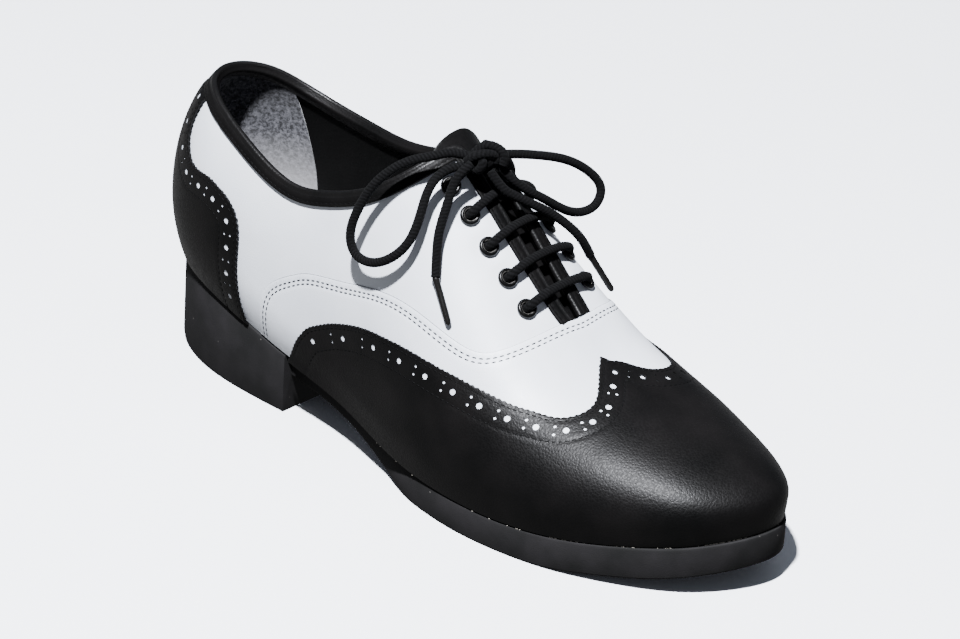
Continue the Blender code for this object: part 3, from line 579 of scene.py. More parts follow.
# %% [markdown]
# ## Turned pieces
# Eyelets and aglets are round, so each is a half profile turned about its axis with Spin. It is modelled
# upright at the origin, then carried to its place with its mesh, so that its object stays at the origin.

# %% Spin a profile
def turned(name, profile, sides, origin, axis, finish):
    """A piece turned from a profile of radius, height and wear, standing on an origin along an axis."""
    piece = mesh_piece(name, [(point[0], 0, point[1]) for point in profile], [], finish)
    worn = piece.data.attributes.new("worn", "FLOAT", "POINT")
    worn.data.foreach_set("value", [point[2] if len(point) > 2 else 0.0 for point in profile])
    piece.data.edges.add(len(profile) - 1)
    piece.data.edges.foreach_set("vertices", [v for i in range(len(profile) - 1) for v in (i, i + 1)])
    edit(piece,
         ("spin", {"steps": sides, "angle": 2 * math.pi, "center": (0, 0, 0), "axis": (0, 0, 1)}),
         ("select_all", {"action": "SELECT"}),
         ("remove_doubles", {"threshold": 1e-6}),
         ("normals_make_consistent", {}))
    place = Vector(axis).to_track_quat("Z", "X").to_matrix().to_4x4()
    place.translation = Vector(origin)
    piece.data.transform(place)
    piece.data.shade_smooth()
    return piece

# %% Aglets
AGLET_RADIUS = 0.0012
AGLET_SIDES = 20


def aglet_film():
    """A tight sleeve of clear film over black braid: dark, glossy, with the braid just showing."""
    made, shader = new_material("aglet_film")
    place = add_node(made, "ShaderNodeTexCoord", {}).outputs["Object"]
    braid = add_node(made, "ShaderNodeTexNoise", {"Vector": place, "Scale": per_mm(0.9), "Detail": 2.0})
    braid = braid.outputs["Fac"]
    tone = add_node(made, "ShaderNodeValToRGB", {"Fac": braid})
    tone.color_ramp.elements[0].color = linear("030303")
    tone.color_ramp.elements[1].color = linear("161514")
    wrap = add_node(made, "ShaderNodeBump", {"Height": braid, "Distance": 0.0002, "Strength": 0.5})
    feed(made, shader, {
        "Base Color": tone.outputs["Color"], "Normal": wrap.outputs["Normal"], "Roughness": 0.28,
        "Specular IOR Level": 0.12, "Coat Weight": 0.08, "Coat Roughness": 0.12,
    })
    return made


FILM = aglet_film()


def make_aglet(word, lace_end, tip):
    """The film sleeve on one end: pinched at its tip, a little proud where it grips the braid."""
    start, tip = Vector(np.array(lace_end) + HOME), Vector(np.array(tip) + HOME)
    reach = (tip - start).length
    r = AGLET_RADIUS
    profile = [
        # radius, height along the sleeve
        (0, -0.0006), (r * 0.9, -0.0006), (r * 1.12, 0.0002), (r * 1.12, 0.0012), (r, 0.0018),
        (r * 0.98, reach * 0.5), (r * 0.94, reach - 0.0016), (r * 0.8, reach - 0.0006),
        (r * 0.45, reach - 0.0001), (0, reach),
    ]
    piece = turned("aglet_sleeve_" + word, profile, AGLET_SIDES, start, tip - start, FILM)
    put_on_shoe(piece, "aglet_film", "aglet_" + word)
    return piece


aglets = {"outer": make_aglet("outer", OUTER_END[-1], OUTER_AGLET_TIP),
          "inner": make_aglet("inner", INNER_END[-1], INNER_AGLET_TIP)}

# %% [markdown]
# ## Free lengths of lace
# The loops and ends of the bow hang free. A loop goes back into the knot, and an end is finished by its
# aglet.

# %% [markdown]
# ## The knot and the bars
# A bow's knot is lace wound over the crossing of the two ends. Here three turns lie side by side round a
# core strand, one strand slants over them, one arches over the top, and the two roots of the inner loop
# run in from the side. Each is a short length of the same tube, and all are joined in one mesh. Bars of
# lace run straight across the throat from eyelet to eyelet: each rises out of one bore, lies low over the
# facings and dips into the other bore.

# %% Knot
KNOT_TURN = 0.0024
KNOT_APART = 0.0034
TUCKED_FROM, TUCKED_SHARE = 2.6, 0.55
CORE_SHARE, ROOT_SHARE = 0.55, 0.6


def knot_turn(across, lean):
    """Route of one turn of lace round the knot's core, with its ends tucked inside."""
    angles = np.radians(np.linspace(-160, 170, 12))
    size = KNOT_TURN * np.where(np.abs(angles) > TUCKED_FROM, TUCKED_SHARE, 1.0)
    return np.column_stack([
        KNOT_CENTRE[0] + size * np.cos(angles),
        KNOT_CENTRE[1] + across + lean * np.sin(angles),
        KNOT_CENTRE[2] + size * np.sin(angles),
    ])


def join(name, pieces):
    """Several pieces made one."""
    bpy.ops.object.select_all(action="DESELECT")
    for piece in pieces:
        piece.select_set(True)
    bpy.context.view_layer.objects.active = pieces[0]
    bpy.ops.object.join()
    pieces[0].name = name
    pieces[0].data.name = name
    return pieces[0]


KNOT_TURNS = (
    # across the knot, lean
    (-KNOT_APART, 0.0005), (0.0, -0.0006), (KNOT_APART, 0.0005),
)
turns = [lace_tube("turn", knot_turn(*turn))[0] for turn in KNOT_TURNS]
slant = KNOT_CENTRE + np.array((
    (-0.0022, -0.0062, 0.0006), (0.0002, -0.0050, 0.0030), (0.0022, -0.0020, 0.0036),
    (0.0030, 0.0016, 0.0022), (0.0026, 0.0046, -0.0004),
))
arch = KNOT_CENTRE + np.array((
    (-0.0038, -0.0028, -0.0014), (-0.0024, -0.0010, 0.0028), (-0.0003, 0.0011, 0.0050),
    (0.0029, 0.0033, 0.0045), (0.0054, 0.0044, 0.0022), (0.0056, 0.0040, -0.0012),
))
core = arch * CORE_SHARE + KNOT_CENTRE * (1 - CORE_SHARE)


def root_of(route):
    """Route of the lace inside the knot, from its middle to where a loop leaves it."""
    first, second = np.array(route[:2])
    inside = KNOT_CENTRE * (1 - ROOT_SHARE) + first * ROOT_SHARE
    return KNOT_CENTRE, inside, first, first * ROOT_SHARE + second * (1 - ROOT_SHARE)


strands = (slant, arch, core, root_of(INNER_LOOP), root_of(INNER_LOOP[::-1]))
knot = join("tied_knot", turns + [lace_tube("strand", route)[0] for route in strands])
put_on_shoe(knot, "lace_cotton", "lace_knot")

# %% Eyelet places
EYELET_ROWS = 5
EYELET_FIRST = 0.1702
EYELET_STEP = 0.0094
EYELET_OUT = 0.0152


def beside_middle(side, x, out):
    """Pattern point whose place on the last is that far out from the middle line at x."""
    rises = np.linspace(1, BULGE_RISE, 200)
    foot = outline_at(side, place_of(x))
    reach = np.abs(skin(np.repeat(foot, len(rises), 0), rises)[:, 1] - spine([x])[0])
    return pattern_at(side, place_of(x), np.interp(out, reach, rises))[0]


EYELETS = {(side, row): beside_middle(side, EYELET_FIRST - row * EYELET_STEP, EYELET_OUT)
           for side in (-1, 1) for row in range(EYELET_ROWS)}
throat_span = np.linalg.norm(on_last(EYELETS[-1, 0]) - on_last(EYELETS[1, 0]))
print("eyelets:", len(EYELETS), "- their lowest pair is", round(1000 * float(throat_span), 1), "mm apart")

# %% Lace bars
BAR_STOPS = (
    # share of the way across, height over the last
    (0.00, -0.0022), (0.00, 0.0004), (0.05, 0.0026), (0.16, 0.0034), (0.34, 0.0035), (0.50, 0.0034),
    (0.66, 0.0035), (0.84, 0.0034), (0.95, 0.0026), (1.00, 0.0004), (1.00, -0.0022),
)
TOP_BAR_DRAWN, LOW_STOP = 0.6, 0.001
shares, heights = np.array(BAR_STOPS).T
for row in range(EYELET_ROWS):
    across = EYELETS[-1, row] * (1 - shares)[:, None] + EYELETS[1, row] * shares[:, None]
    # The knot sits on the top bar and draws it down
    drawn = np.where((row == EYELET_ROWS - 1) & (heights > LOW_STOP), TOP_BAR_DRAWN, 1.0)
    bar, _ = lace_tube(f"braided_bar_{row + 1}", on_last(across, heights * drawn) - HOME)
    put_on_shoe(bar, "lace_cotton", f"lace_bar_{row + 1}")

# %% [markdown]
# ## White leather
# The quarters and the vamp are smooth white calf with a satin finish. Its grain is a net of tiny creases,
# too fine to see one by one at this distance, so it is drawn at 0.7 mm to show at all. A faint blue-grey
# mottling, a little dirt low down by the sole and a thin clear finish keep it from looking like plastic.
# The quarters are lined with a thin black leather, whose grain is drawn coarse too.

# %% White leather finish
def white_calf():
    """Satin white: broad soft highlights under a thin finish, a fine creased grain, faint grey mottling."""
    made, shader = new_material("white_calf")
    place = add_node(made, "ShaderNodeTexCoord", {}).outputs["Object"]
    mottle = add_node(made, "ShaderNodeTexNoise", {"Vector": place, "Scale": per_mm(38), "Detail": 4.0})
    clean = add_node(made, "ShaderNodeValToRGB", {"Fac": mottle.outputs["Fac"]})
    clean.color_ramp.elements[0].color = linear("c4c8cf")
    clean.color_ramp.elements[1].color = linear("d4d8de")
    clean.color_ramp.elements[0].position = 0.3
    clean.color_ramp.elements[1].position = 0.62
    height = add_node(made, "ShaderNodeSeparateXYZ", {"Vector": place}).outputs["Z"]
    low_down = add_node(made, "ShaderNodeMapRange", {"Value": height, 1: 0.016, 2: 0.034, 3: 0.5, 4: 0.0})
    smear = add_node(made, "ShaderNodeTexNoise", {"Vector": place, "Scale": per_mm(6), "Detail": 6.0})
    smear = smear.outputs["Fac"]
    dirt = add_node(made, "ShaderNodeMath", {0: low_down.outputs[0], 1: smear}, operation="MULTIPLY")
    soiled = {0: dirt.outputs[0], 6: clean.outputs["Color"], 7: linear("b9b6b0")}
    tone = add_node(made, "ShaderNodeMix", soiled, data_type="RGBA")
    net = {"Vector": place, "Scale": per_mm(0.7)}
    grain = add_node(made, "ShaderNodeTexVoronoi", net, feature="DISTANCE_TO_EDGE")
    crease = add_node(made, "ShaderNodeMapRange", {"Value": grain.outputs["Distance"], 1: 0.0, 2: 0.18})
    relief = {"Height": crease.outputs[0], "Distance": 0.00003, "Strength": 0.5}
    fine = add_node(made, "ShaderNodeBump", relief)
    gloss = add_node(made, "ShaderNodeMapRange", {"Value": smear, 3: 0.36, 4: 0.52})
    feed(made, shader, {
        "Base Color": tone.outputs[2], "Roughness": gloss.outputs[0], "Normal": fine.outputs["Normal"],
        "Specular IOR Level": 0.42, "Coat Weight": 0.12, "Coat Roughness": 0.35,
    })
    return made


WHITE = white_calf()

# %% Lining
def lining_leather():
    """Thin black lining leather: matt, a little dusty, with a slack fine grain."""
    made, shader = new_material("lining_leather")
    place = add_node(made, "ShaderNodeTexCoord", {}).outputs["Object"]
    dust = add_node(made, "ShaderNodeTexNoise", {"Vector": place, "Scale": per_mm(9), "Detail": 5.0})
    tone = add_node(made, "ShaderNodeValToRGB", {"Fac": dust.outputs["Fac"]})
    tone.color_ramp.elements[0].color = linear("030303")
    tone.color_ramp.elements[1].color = linear("090909")
    grain = add_node(made, "ShaderNodeTexVoronoi", {"Vector": place, "Scale": per_mm(0.8)})
    relief = {"Height": grain.outputs["Distance"], "Distance": 0.00008, "Strength": 0.6}
    bump = add_node(made, "ShaderNodeBump", relief)
    feed(made, shader, {
        "Base Color": tone.outputs["Color"], "Normal": bump.outputs["Normal"], "Roughness": 0.7,
        "Specular IOR Level": 0.1,
    })
    return made


LINING = lining_leather()

# %% [markdown]
# ## The quarters
# The white quarters close round the heel and meet at the lacing. They start as a flat grid that is pulled
# over the last one column at a time: its foot goes to the feather line and its top to the collar or the
# facing. The pressed eyelets draw the leather down in a shallow ring round each of them. Solidify then
# gives the wall inwards, with the lining as its inner face. Under the eyelets the grid is opened, and the
# flanges cover the cut.

# %% Collar and facing edges
WALL = 0.0020
COLLAR_ROWS = (
    # from_heel, outer_z, inner_z
    (-0.004, 0.1035, 0.1035), (0.012, 0.1032, 0.0994), (0.024, 0.1016, 0.0942), (0.041, 0.0976, 0.0894),
    (0.058, 0.0918, 0.0880), (0.076, 0.0884, 0.0888), (0.090, 0.0914, 0.0920), (0.105, 0.0974, 0.0975),
    (0.114, 0.1032, 0.1020), (0.124, 0.1130, 0.1090), (0.134, 0.1280, 0.1230),
)
collar_z = {-1: column(COLLAR_ROWS, 1), 1: column(COLLAR_ROWS, 2)}
FACING_TOP = 0.124
FACING_LEAD = 0.0100
FACING_GAP_TOP = 0.0050
FACING_GAP_BASE = 0.0034
THROAT_CUT = 0.1792
THROAT_BASE = 0.1800


def facing_gap(x):
    """Half of the gap between the facings at x, cut straight across at the throat."""
    half = FACING_GAP_TOP + (FACING_GAP_BASE - FACING_GAP_TOP) * (x - FACING_TOP) / (THROAT_CUT - FACING_TOP)
    return half * min(max((THROAT_BASE - x) / (THROAT_BASE - THROAT_CUT), 0.0), 1.0)


def edge_rise(side, place):
    """Rise at which the quarters end: at the collar, at the facing, or closed over the ridge."""
    foot = outline_at(side, place)
    x = foot[0, 0]
    if x >= THROAT_BASE:
        return 1.0
    rises = np.linspace(0.16, 1, 400)
    points = skin(np.repeat(foot, len(rises), 0), rises)
    rise = np.interp(collar_z[side]([x])[0], points[:, 2], rises)
    if x >= FACING_TOP - FACING_LEAD:
        out = np.abs(points[:, 1] - spine([x])[0])[::-1]
        rise = min(rise, np.interp(facing_gap(max(x, FACING_TOP)), out, rises[::-1]))
    return rise

# %% Quarters over the last
HEEL_TURN = np.linspace(0, 1, 33)[:-1]
SIDE_RUNS = (
    # from, to, spacing
    (0.034, 0.110, 0.0015), (0.110, 0.127, 0.0007), (0.127, 0.1786, 0.0011),
    (0.1790, 0.1806, 0.0002), (0.1816, 0.222, 0.0022),
)
SIDE_RUN = np.concatenate([np.arange(*run) for run in SIDE_RUNS])
TOE_TURN = np.linspace(2, 3, 24)
UPPER_PLACES = np.concatenate([HEEL_TURN, place_of(SIDE_RUN), TOE_TURN])
FOOT_ROWS, UPPER_ROWS = 8, 56
DIMPLE_DEPTH, DIMPLE_RING, DIMPLE_WIDTH = 0.00035, 0.0034, 0.0017


def quarter_half(side):
    """One side of the upper: a flat grid whose columns are pulled over the last."""
    columns, rows = len(UPPER_PLACES) - 1, FOOT_ROWS + UPPER_ROWS
    bpy.ops.mesh.primitive_grid_add(x_subdivisions=columns, y_subdivisions=rows, size=2)
    half = bpy.context.object
    flat = np.array([v.co[:2] for v in half.data.vertices])
    place_index = np.rint((flat[:, 0] + 1) / 2 * columns).astype(int)
    row_index = np.rint((flat[:, 1] + 1) / 2 * rows).astype(int)
    ends = np.array([edge_rise(side, place) for place in UPPER_PLACES])[place_index]
    foot_share = np.clip(row_index / FOOT_ROWS, 0, 1)
    top_share = np.clip((row_index - FOOT_ROWS) / UPPER_ROWS, 0, 1)
    rises = BULGE_RISE * foot_share + (ends - BULGE_RISE) * top_share
    lasted = skin(outline_at(side, UPPER_PLACES[place_index]), rises) + HOME
    for (eyelet_side, _), spot in EYELETS.items():
        if eyelet_side == side:
            away = np.linalg.norm(lasted - on_last(spot), axis=1)
            dimple = DIMPLE_DEPTH * np.exp(-((away - DIMPLE_RING) / DIMPLE_WIDTH) ** 2)
            lasted = lasted - axes_at(spot[None])[2] * dimple[:, None]
    half.data.vertices.foreach_set("co", lasted.reshape(-1).astype(np.float32))
    return half


quarters = join("white_quarters", [quarter_half(-1), quarter_half(1)])
quarters.data.materials.append(WHITE)
quarters.data.materials.append(LINING)
edit(quarters, ("remove_doubles", {"threshold": 2e-6}), ("dissolve_degenerate", {"threshold": 1e-6}),
     ("normals_make_consistent", {}))
print("quarters:", len(quarters.data.vertices), "points")

# %% Open the quarters under the eyelets, and give them their wall
EYELET_OPENING = 0.0024
FOOT_SPACE = HOME + (0.14, 0.0, 0.03)
SHARP_EDGE = math.radians(50)


def face_outwards(piece, inside):
    """Turn an open sheet's faces over if they look towards a point inside it."""
    look = sum(face.normal.dot(face.center - Vector(inside)) for face in piece.data.polygons)
    if look < 0:
        edit(piece, ("flip_normals", {}))


only(quarters)
middles = np.array([face.center[:] for face in quarters.data.polygons])
holes = on_last(np.array(list(EYELETS.values())))
opened = nearest(middles, holes) < EYELET_OPENING
bpy.ops.object.mode_set(mode="EDIT")
bpy.ops.mesh.select_all(action="DESELECT")
bpy.ops.object.mode_set(mode="OBJECT")
quarters.data.polygons.foreach_set("select", opened)
bpy.ops.object.mode_set(mode="EDIT")
bpy.ops.mesh.select_mode(type="FACE")
bpy.ops.mesh.delete(type="FACE")
bpy.ops.object.mode_set(mode="OBJECT")
face_outwards(quarters, FOOT_SPACE)
modify(quarters, "SOLIDIFY", thickness=WALL, offset=-1.0, use_even_offset=True, material_offset=1)
quarters.data.shade_smooth()
quarters.data.set_sharp_from_angle(angle=SHARP_EDGE)
put_on_shoe(quarters, "white_leather", "upper")

# %% [markdown]
# ## Cutting panels
# The vamp, the winged cap and the counter are cut flat, pinked and punched, and then lasted over the
# quarters. Cutting a curved wall with booleans leaves long slivers that show in a highlight. Here the
# outline, the holes and points spread evenly over the panel are triangulated while it is flat, so that
# every triangle is small and follows the last.

# %% Points spread over the last
def lattice(first, last, spacing):
    """Pattern points about that far apart over a stretch of the last, on both sides."""
    points = []
    rises = np.linspace(0.005, 0.995, 160)
    for side in (-1, 1):
        reach = np.linspace(first, last, 2000)
        run = lengths(outline_at(side, reach))
        places = np.interp(np.arange(0, run[-1], spacing), run, reach)
        for i, (place, foot) in enumerate(zip(places, outline_at(side, places))):
            climb = lengths(skin(np.repeat(foot[None], len(rises), 0), rises))
            rise = np.interp(np.arange(spacing / (2 - i % 2), climb[-1], spacing), climb, rises)
            if not 1 <= place <= 2:
                # Round the heel and the toe the columns run together, so fewer of them go on to the top
                rise = rise[i % 2 ** np.floor(-np.log2(1 - rise)) == 0]
            hub = centre(foot[:1])[0]
            points.append(hub + (foot - hub) * (1 - rise)[:, None])
    return np.vstack(points)


def within(points, loop):
    """Which flat points lie inside a closed loop."""
    inside = np.zeros(len(points), bool)
    for (x1, y1), (x2, y2) in zip(loop, np.roll(loop, -1, axis=0)):
        crosses = (y1 > points[:, 1]) != (y2 > points[:, 1])
        if crosses.any():
            where = x1 + (points[crosses, 1] - y1) * (x2 - x1) / (y2 - y1)
            inside[crosses] ^= points[crosses, 0] < where
    return inside


def disc(spot, radius, count):
    """Pattern points round a real circle on the last."""
    spots = np.repeat(np.atleast_2d(spot), count, 0)
    along, _, normal = axes_at(spots)
    along /= np.linalg.norm(along, axis=1)[:, None]
    turn = np.linspace(0, 2 * math.pi, count, endpoint=False)[:, None]
    return slide(spots, along * np.cos(turn) + np.cross(normal, along) * np.sin(turn), radius, steps=1)

# %% Cut a flat panel
FINE, COARSE = 0.0008, 0.0024
FINE_BAND = 0.0115
EDGE_CLEAR, HOLE_CLEAR, HOLE_REACH = 0.4 * FINE, 0.0015, 0.0020
BIG_HOLE, BIG_SIDES, SMALL_SIDES = 0.0008, 14, 9
MM = 1000
spread = {}


def spread_over(first, last):
    """Fine and coarse points for a stretch of the last, with their places in space, made once."""
    key = (round(first, 4), round(last, 4))
    if key not in spread:
        grids = (lattice(first, last, spacing) for spacing in (FINE, COARSE))
        spread[key] = [(points, on_last(points)) for points in grids]
    return spread[key]


def cut_panel(edge, foot, punched, first, last):
    """Flat points and triangles of a panel between its cut edge and the feather line, with its holes."""
    loop = np.vstack([edge, foot])
    holes = [disc(spot, radius, BIG_SIDES if radius > BIG_HOLE else SMALL_SIDES) for spot, radius in punched]
    cut_line, loop_line = on_last(edge), on_last(loop)
    spots = on_last(np.array([spot for spot, _ in punched])) if punched else np.zeros((0, 3))
    inner = []
    for k, (points, places) in enumerate(spread_over(first, last)):
        inside = within(points, loop)
        points, places = points[inside], places[inside]
        far = nearest(places, cut_line)
        keep = (far < FINE_BAND) if k == 0 else (far >= FINE_BAND)
        keep &= nearest(places, loop_line) > EDGE_CLEAR
        if len(spots):
            keep &= nearest(places, spots) > HOLE_CLEAR
        inner.append(points[keep])
    corners = np.vstack([loop, *holes, *inner]) * MM
    joins, start = [], 0
    for ring in (loop, *holes):
        joins += [(start + i, start + (i + 1) % len(ring)) for i in range(len(ring))]
        start += len(ring)
    flat, _, faces, *_ = geometry.delaunay_2d_cdt([Vector(c) for c in corners], joins, [], 0, 1e-5)
    flat = np.array([v[:] for v in flat]) / MM
    faces = np.array([face[:3] for face in faces])
    middles = flat[faces].mean(axis=1)
    keep = within(middles, loop)
    for hole in holes:
        near = np.flatnonzero(np.abs(middles - hole.mean(axis=0)).max(axis=1) < HOLE_REACH)
        keep[near[within(middles[near], hole)]] = False
    return flat, faces[keep]

# %% Last a panel
GROOVE_WIDTH, GROOVE_DEPTH = 0.0006, 0.00016
EDGE_ROLL, EDGE_DROP = 0.00045, 0.35
FLARE_REACH = 0.004


def groove(distance, row):
    """How deep a stitch row that far from the edge draws the leather in, from 0 to 1."""
    return np.exp(-((distance - row) / GROOVE_WIDTH) ** 2)


def lasted_panel(name, cut, edge, lift, thick, rows, finish, flare=0.0):
    """A cut panel over the last: stitch rows draw it in, its edge rolls down and its foot may flare."""
    flat, faces = cut
    distance = nearest(on_last(flat), on_last(resampled(edge, 0.0003)))
    relief = -EDGE_DROP * thick * np.exp(-(distance / EDGE_ROLL) ** 2)
    for row in rows:
        relief = relief - GROOVE_DEPTH * groove(distance, row)
    foot, rise = locate(flat)
    relief = relief + flare * np.exp(-(rise / BULGE_RISE * bulge(foot[:, 0]) / FLARE_REACH) ** 2)
    height = lift(flat) if callable(lift) else lift
    piece = mesh_piece(name, on_last(flat, height + thick + relief), faces, finish)
    edit(piece, ("delete_loose", {}), ("normals_make_consistent", {}))
    face_outwards(piece, FOOT_SPACE)
    modify(piece, "SOLIDIFY", thickness=thick, offset=-1.0)
    piece.data.shade_smooth()
    piece.data.set_sharp_from_angle(angle=SHARP_EDGE)
    return piece


FEATHER_CLEAR = 0.0009


def feather_run(side, places, lift=FEATHER_CLEAR):
    """Pattern points along the feather line, just clear of the sole."""
    return pattern_at(side, places, BULGE_RISE * lift / bulge(outline_at(side, places)[:, 0]))


def place_near(side, x):
    """Place on the outline at a distance from the heel, round the heel and toe too."""
    places = np.linspace(0, 3, 3001)
    return float(np.interp(x, outline_at(side, places)[:, 0], places))

# %% [markdown]
# ## Stitches
# A row of stitches is short lengths of thread that dive into the leather at both ends. One stitch is
# modelled as a small stretched ball, and every row is copies of it joined in one mesh, with only a few
# dozen faces each. The twist of the thread is about 0.2 mm, and is drawn at 0.5 mm so that it shows.

# %% Thread and sewing
def waxed_thread(name, dark, light):
    """Twisted polyester thread: a low sheen and a fine twist across each stitch."""
    made, shader = new_material(name)
    place = add_node(made, "ShaderNodeTexCoord", {}).outputs["Object"]
    twist = add_node(made, "ShaderNodeTexNoise", {"Vector": place, "Scale": per_mm(0.5), "Detail": 2.0})
    twist = twist.outputs["Fac"]
    tone = add_node(made, "ShaderNodeValToRGB", {"Fac": twist})
    tone.color_ramp.elements[0].color = linear(dark)
    tone.color_ramp.elements[1].color = linear(light)
    bump = add_node(made, "ShaderNodeBump", {"Height": twist, "Distance": 0.0001, "Strength": 0.5})
    feed(made, shader, {
        "Base Color": tone.outputs["Color"], "Normal": bump.outputs["Normal"], "Roughness": 0.55,
        "Specular IOR Level": 0.06,
    })
    return made


GREY_THREAD = waxed_thread("grey_thread", "17181a", "35363a")
BLACK_THREAD = waxed_thread("black_thread", "020202", "0a0a0b")

bpy.ops.object.select_all(action="DESELECT")
bpy.ops.mesh.primitive_uv_sphere_add(segments=8, ring_count=6, radius=0.5, rotation=(0, math.radians(90), 0))
bpy.ops.object.transform_apply(rotation=True)
ball = bpy.context.object
STITCH_VERTS = np.array([v.co[:] for v in ball.data.vertices])
STITCH_FACES = [tuple(face.vertices) for face in ball.data.polygons]
STITCH_SUNK = 0.00012
bpy.data.objects.remove(ball)
print("one stitch:", len(STITCH_FACES), "faces")


def sew(name, lines, lift, pitch, length, width, finish):
    """Stitches along lines of pattern points, as one joined piece."""
    verts, faces = [], []
    for line in lines:
        run = lengths(on_last(line))
        count = int(run[-1] / pitch)
        at = (np.arange(count) + 0.5) * run[-1] / count
        ends = [np.column_stack([np.interp(at + step, run, line[:, k]) for k in (0, 1)])
                for step in (-length / 2, length / 2)]
        height = lift((ends[0] + ends[1]) / 2) if callable(lift) else lift
        start, end = (on_last(points, height) for points in ends)
        normal = axes_at((ends[0] + ends[1]) / 2)[2]
        along = (end - start) / np.linalg.norm(end - start, axis=1)[:, None]
        side = np.cross(normal, along)
        local = STITCH_VERTS * (length * 1.1, width, width * 0.8)
        for middle, a, s, n in zip((start + end) / 2, along, side, normal):
            faces += [tuple(len(verts) + v for v in face) for face in STITCH_FACES]
            verts += list(middle + local[:, :1] * a + local[:, 1:2] * s + local[:, 2:] * n)
    return mesh_piece(name, verts, faces, finish)

# %% [markdown]
# ## The vamp
# The white vamp covers the forefoot. Its edge is folded and laid over the quarters, from the waist along
# each side and across below the lacing, and two rows of grey thread hold it. At the throat it passes over
# the ends of the facings. A thin dark line of painted shade lies in the crease along its edge, made of the
# same small balls as the stitches.

# %% Vamp
VAMP_SEAM = (
    (0.0632, -0.0346), (0.0650, -0.0305), (0.0693, -0.0279), (0.0780, -0.0257), (0.0878, -0.0242),
    (0.1118, -0.0231), (0.1400, -0.0222), (0.1632, -0.0198), (0.1713, -0.0160), (0.1770, -0.0082),
    (0.1800, 0.0028),
)
VAMP_START = 0.058
VAMP_THICK = 0.0005
VAMP_ROWS = (0.0021, 0.0036)
VAMP_LIFT, THROAT_LIFT, THROAT_REACH = 0.00003, 0.0008, 0.0085
THROAT = np.array(VAMP_SEAM[-1])
PAINTED_SHADE_LIFT = 0.0001


def vamp_lift(flat):
    """Height of the vamp's underside: on the quarters, and over the facings' ends at the throat."""
    return VAMP_LIFT + THROAT_LIFT * np.exp(-((np.linalg.norm(flat - THROAT, axis=1) / THROAT_REACH) ** 2))


def feather_round(nose_x, lift=FEATHER_CLEAR):
    """The feather line from a place on the inner side round the toe to the same place on the outer side."""
    inner, outer = (np.linspace(place_near(side, nose_x), 3, 260) for side in (1, -1))
    return np.vstack([feather_run(1, inner, lift), feather_run(-1, outer, lift)[-2::-1]])


vamp_edge = resampled(both_sides(smooth_path(VAMP_SEAM, 160)), 0.0008)
vamp_cut = cut_panel(vamp_edge, feather_round(VAMP_SEAM[0][0]), [], place_near(-1, VAMP_START), 3.0)
vamp = lasted_panel("white_vamp", vamp_cut, vamp_edge, vamp_lift, VAMP_THICK, VAMP_ROWS, WHITE)
put_on_shoe(vamp, "white_leather")
vamp_sewing = sew("vamp_stitches", [beside(vamp_edge, row) for row in VAMP_ROWS],
                  lambda flat: vamp_lift(flat) + VAMP_THICK - STITCH_SUNK,
                  pitch=0.0024, length=0.0015, width=0.00055, finish=GREY_THREAD)
put_on_shoe(vamp_sewing, "white_leather")
# Painted shade: a thin dark line of small balls laid in the crease along the vamp's edge
painted_edge_shade = sew("vamp_painted_edge_shade", [vamp_edge], lambda flat: vamp_lift(flat) + PAINTED_SHADE_LIFT,
                  pitch=0.0010, length=0.0012, width=0.00028, finish=GREY_THREAD)
put_on_shoe(painted_edge_shade, "white_leather")

# %% [markdown]
# ## Black leather
# The cap, the counter, the binding and the tongue are black calf. Under a hard light its grain breaks the
# highlight into a fine sparkle, so the grain drives both bump and roughness. Real pores are about 0.2 mm
# apart, and are drawn at 0.4 and 0.8 mm so that they show. The same calf comes in three finishes: plain on
# the cap and the counter, polished by the foot and the hand on the tongue and the rolled edge, and dulled
# on the flat bands.

# %% Black leather finish
GLOSS_SPAN = 0.17


def black_calf(name, gleam, smoothest):
    """Satin black with a warm cast, a little patchy: a broad highlight that fine grain breaks up."""
    made, shader = new_material(name)
    place = add_node(made, "ShaderNodeTexCoord", {}).outputs["Object"]
    patchy = add_node(made, "ShaderNodeTexNoise", {"Vector": place, "Scale": per_mm(22), "Detail": 5.0})
    tone = add_node(made, "ShaderNodeValToRGB", {"Fac": patchy.outputs["Fac"]})
    tone.color_ramp.elements[0].color = linear("050505")
    tone.color_ramp.elements[1].color = linear("0c0b0b")
    tone.color_ramp.elements[0].position = 0.35
    tone.color_ramp.elements[1].position = 0.7
    pebble = add_node(made, "ShaderNodeTexVoronoi", {"Vector": place, "Scale": per_mm(0.8)})
    pore = add_node(made, "ShaderNodeTexNoise", {"Vector": place, "Scale": per_mm(0.4), "Detail": 3.0})
    both = {0: pebble.outputs["Distance"], 1: pore.outputs["Fac"]}
    grain = add_node(made, "ShaderNodeMath", both, operation="ADD").outputs[0]
    bump = add_node(made, "ShaderNodeBump", {"Height": grain, "Distance": 0.00010, "Strength": 0.5})
    sparkle = {"Value": grain, 1: 0.4, 2: 1.2, 3: smoothest, 4: smoothest + GLOSS_SPAN}
    gloss = add_node(made, "ShaderNodeMapRange", sparkle)
    feed(made, shader, {
        "Base Color": tone.outputs["Color"], "Roughness": gloss.outputs[0],
        "Normal": bump.outputs["Normal"], "Specular IOR Level": gleam,
    })
    return made


BLACK = black_calf("black_calf", 0.085, 0.27)
POLISHED = black_calf("polished_black_calf", 0.18, 0.27)
DULLED = black_calf("dulled_black_calf", 0.06, 0.36)

# %% [markdown]
# ## Pinked and punched edges
# Both black panels carry the same decoration: a pinked edge of small teeth, a row of stitches close to it,
# a band of punched holes and a second row of stitches. The large holes come about 10 mm apart near the toe
# and wider towards the waist, so their distances from the peak of the wing are listed. Two small holes
# stand across the band in each gap between large ones, apart from a short gap at the peak. White leather
# shows through them all: a disc of it lies a little way down in each.

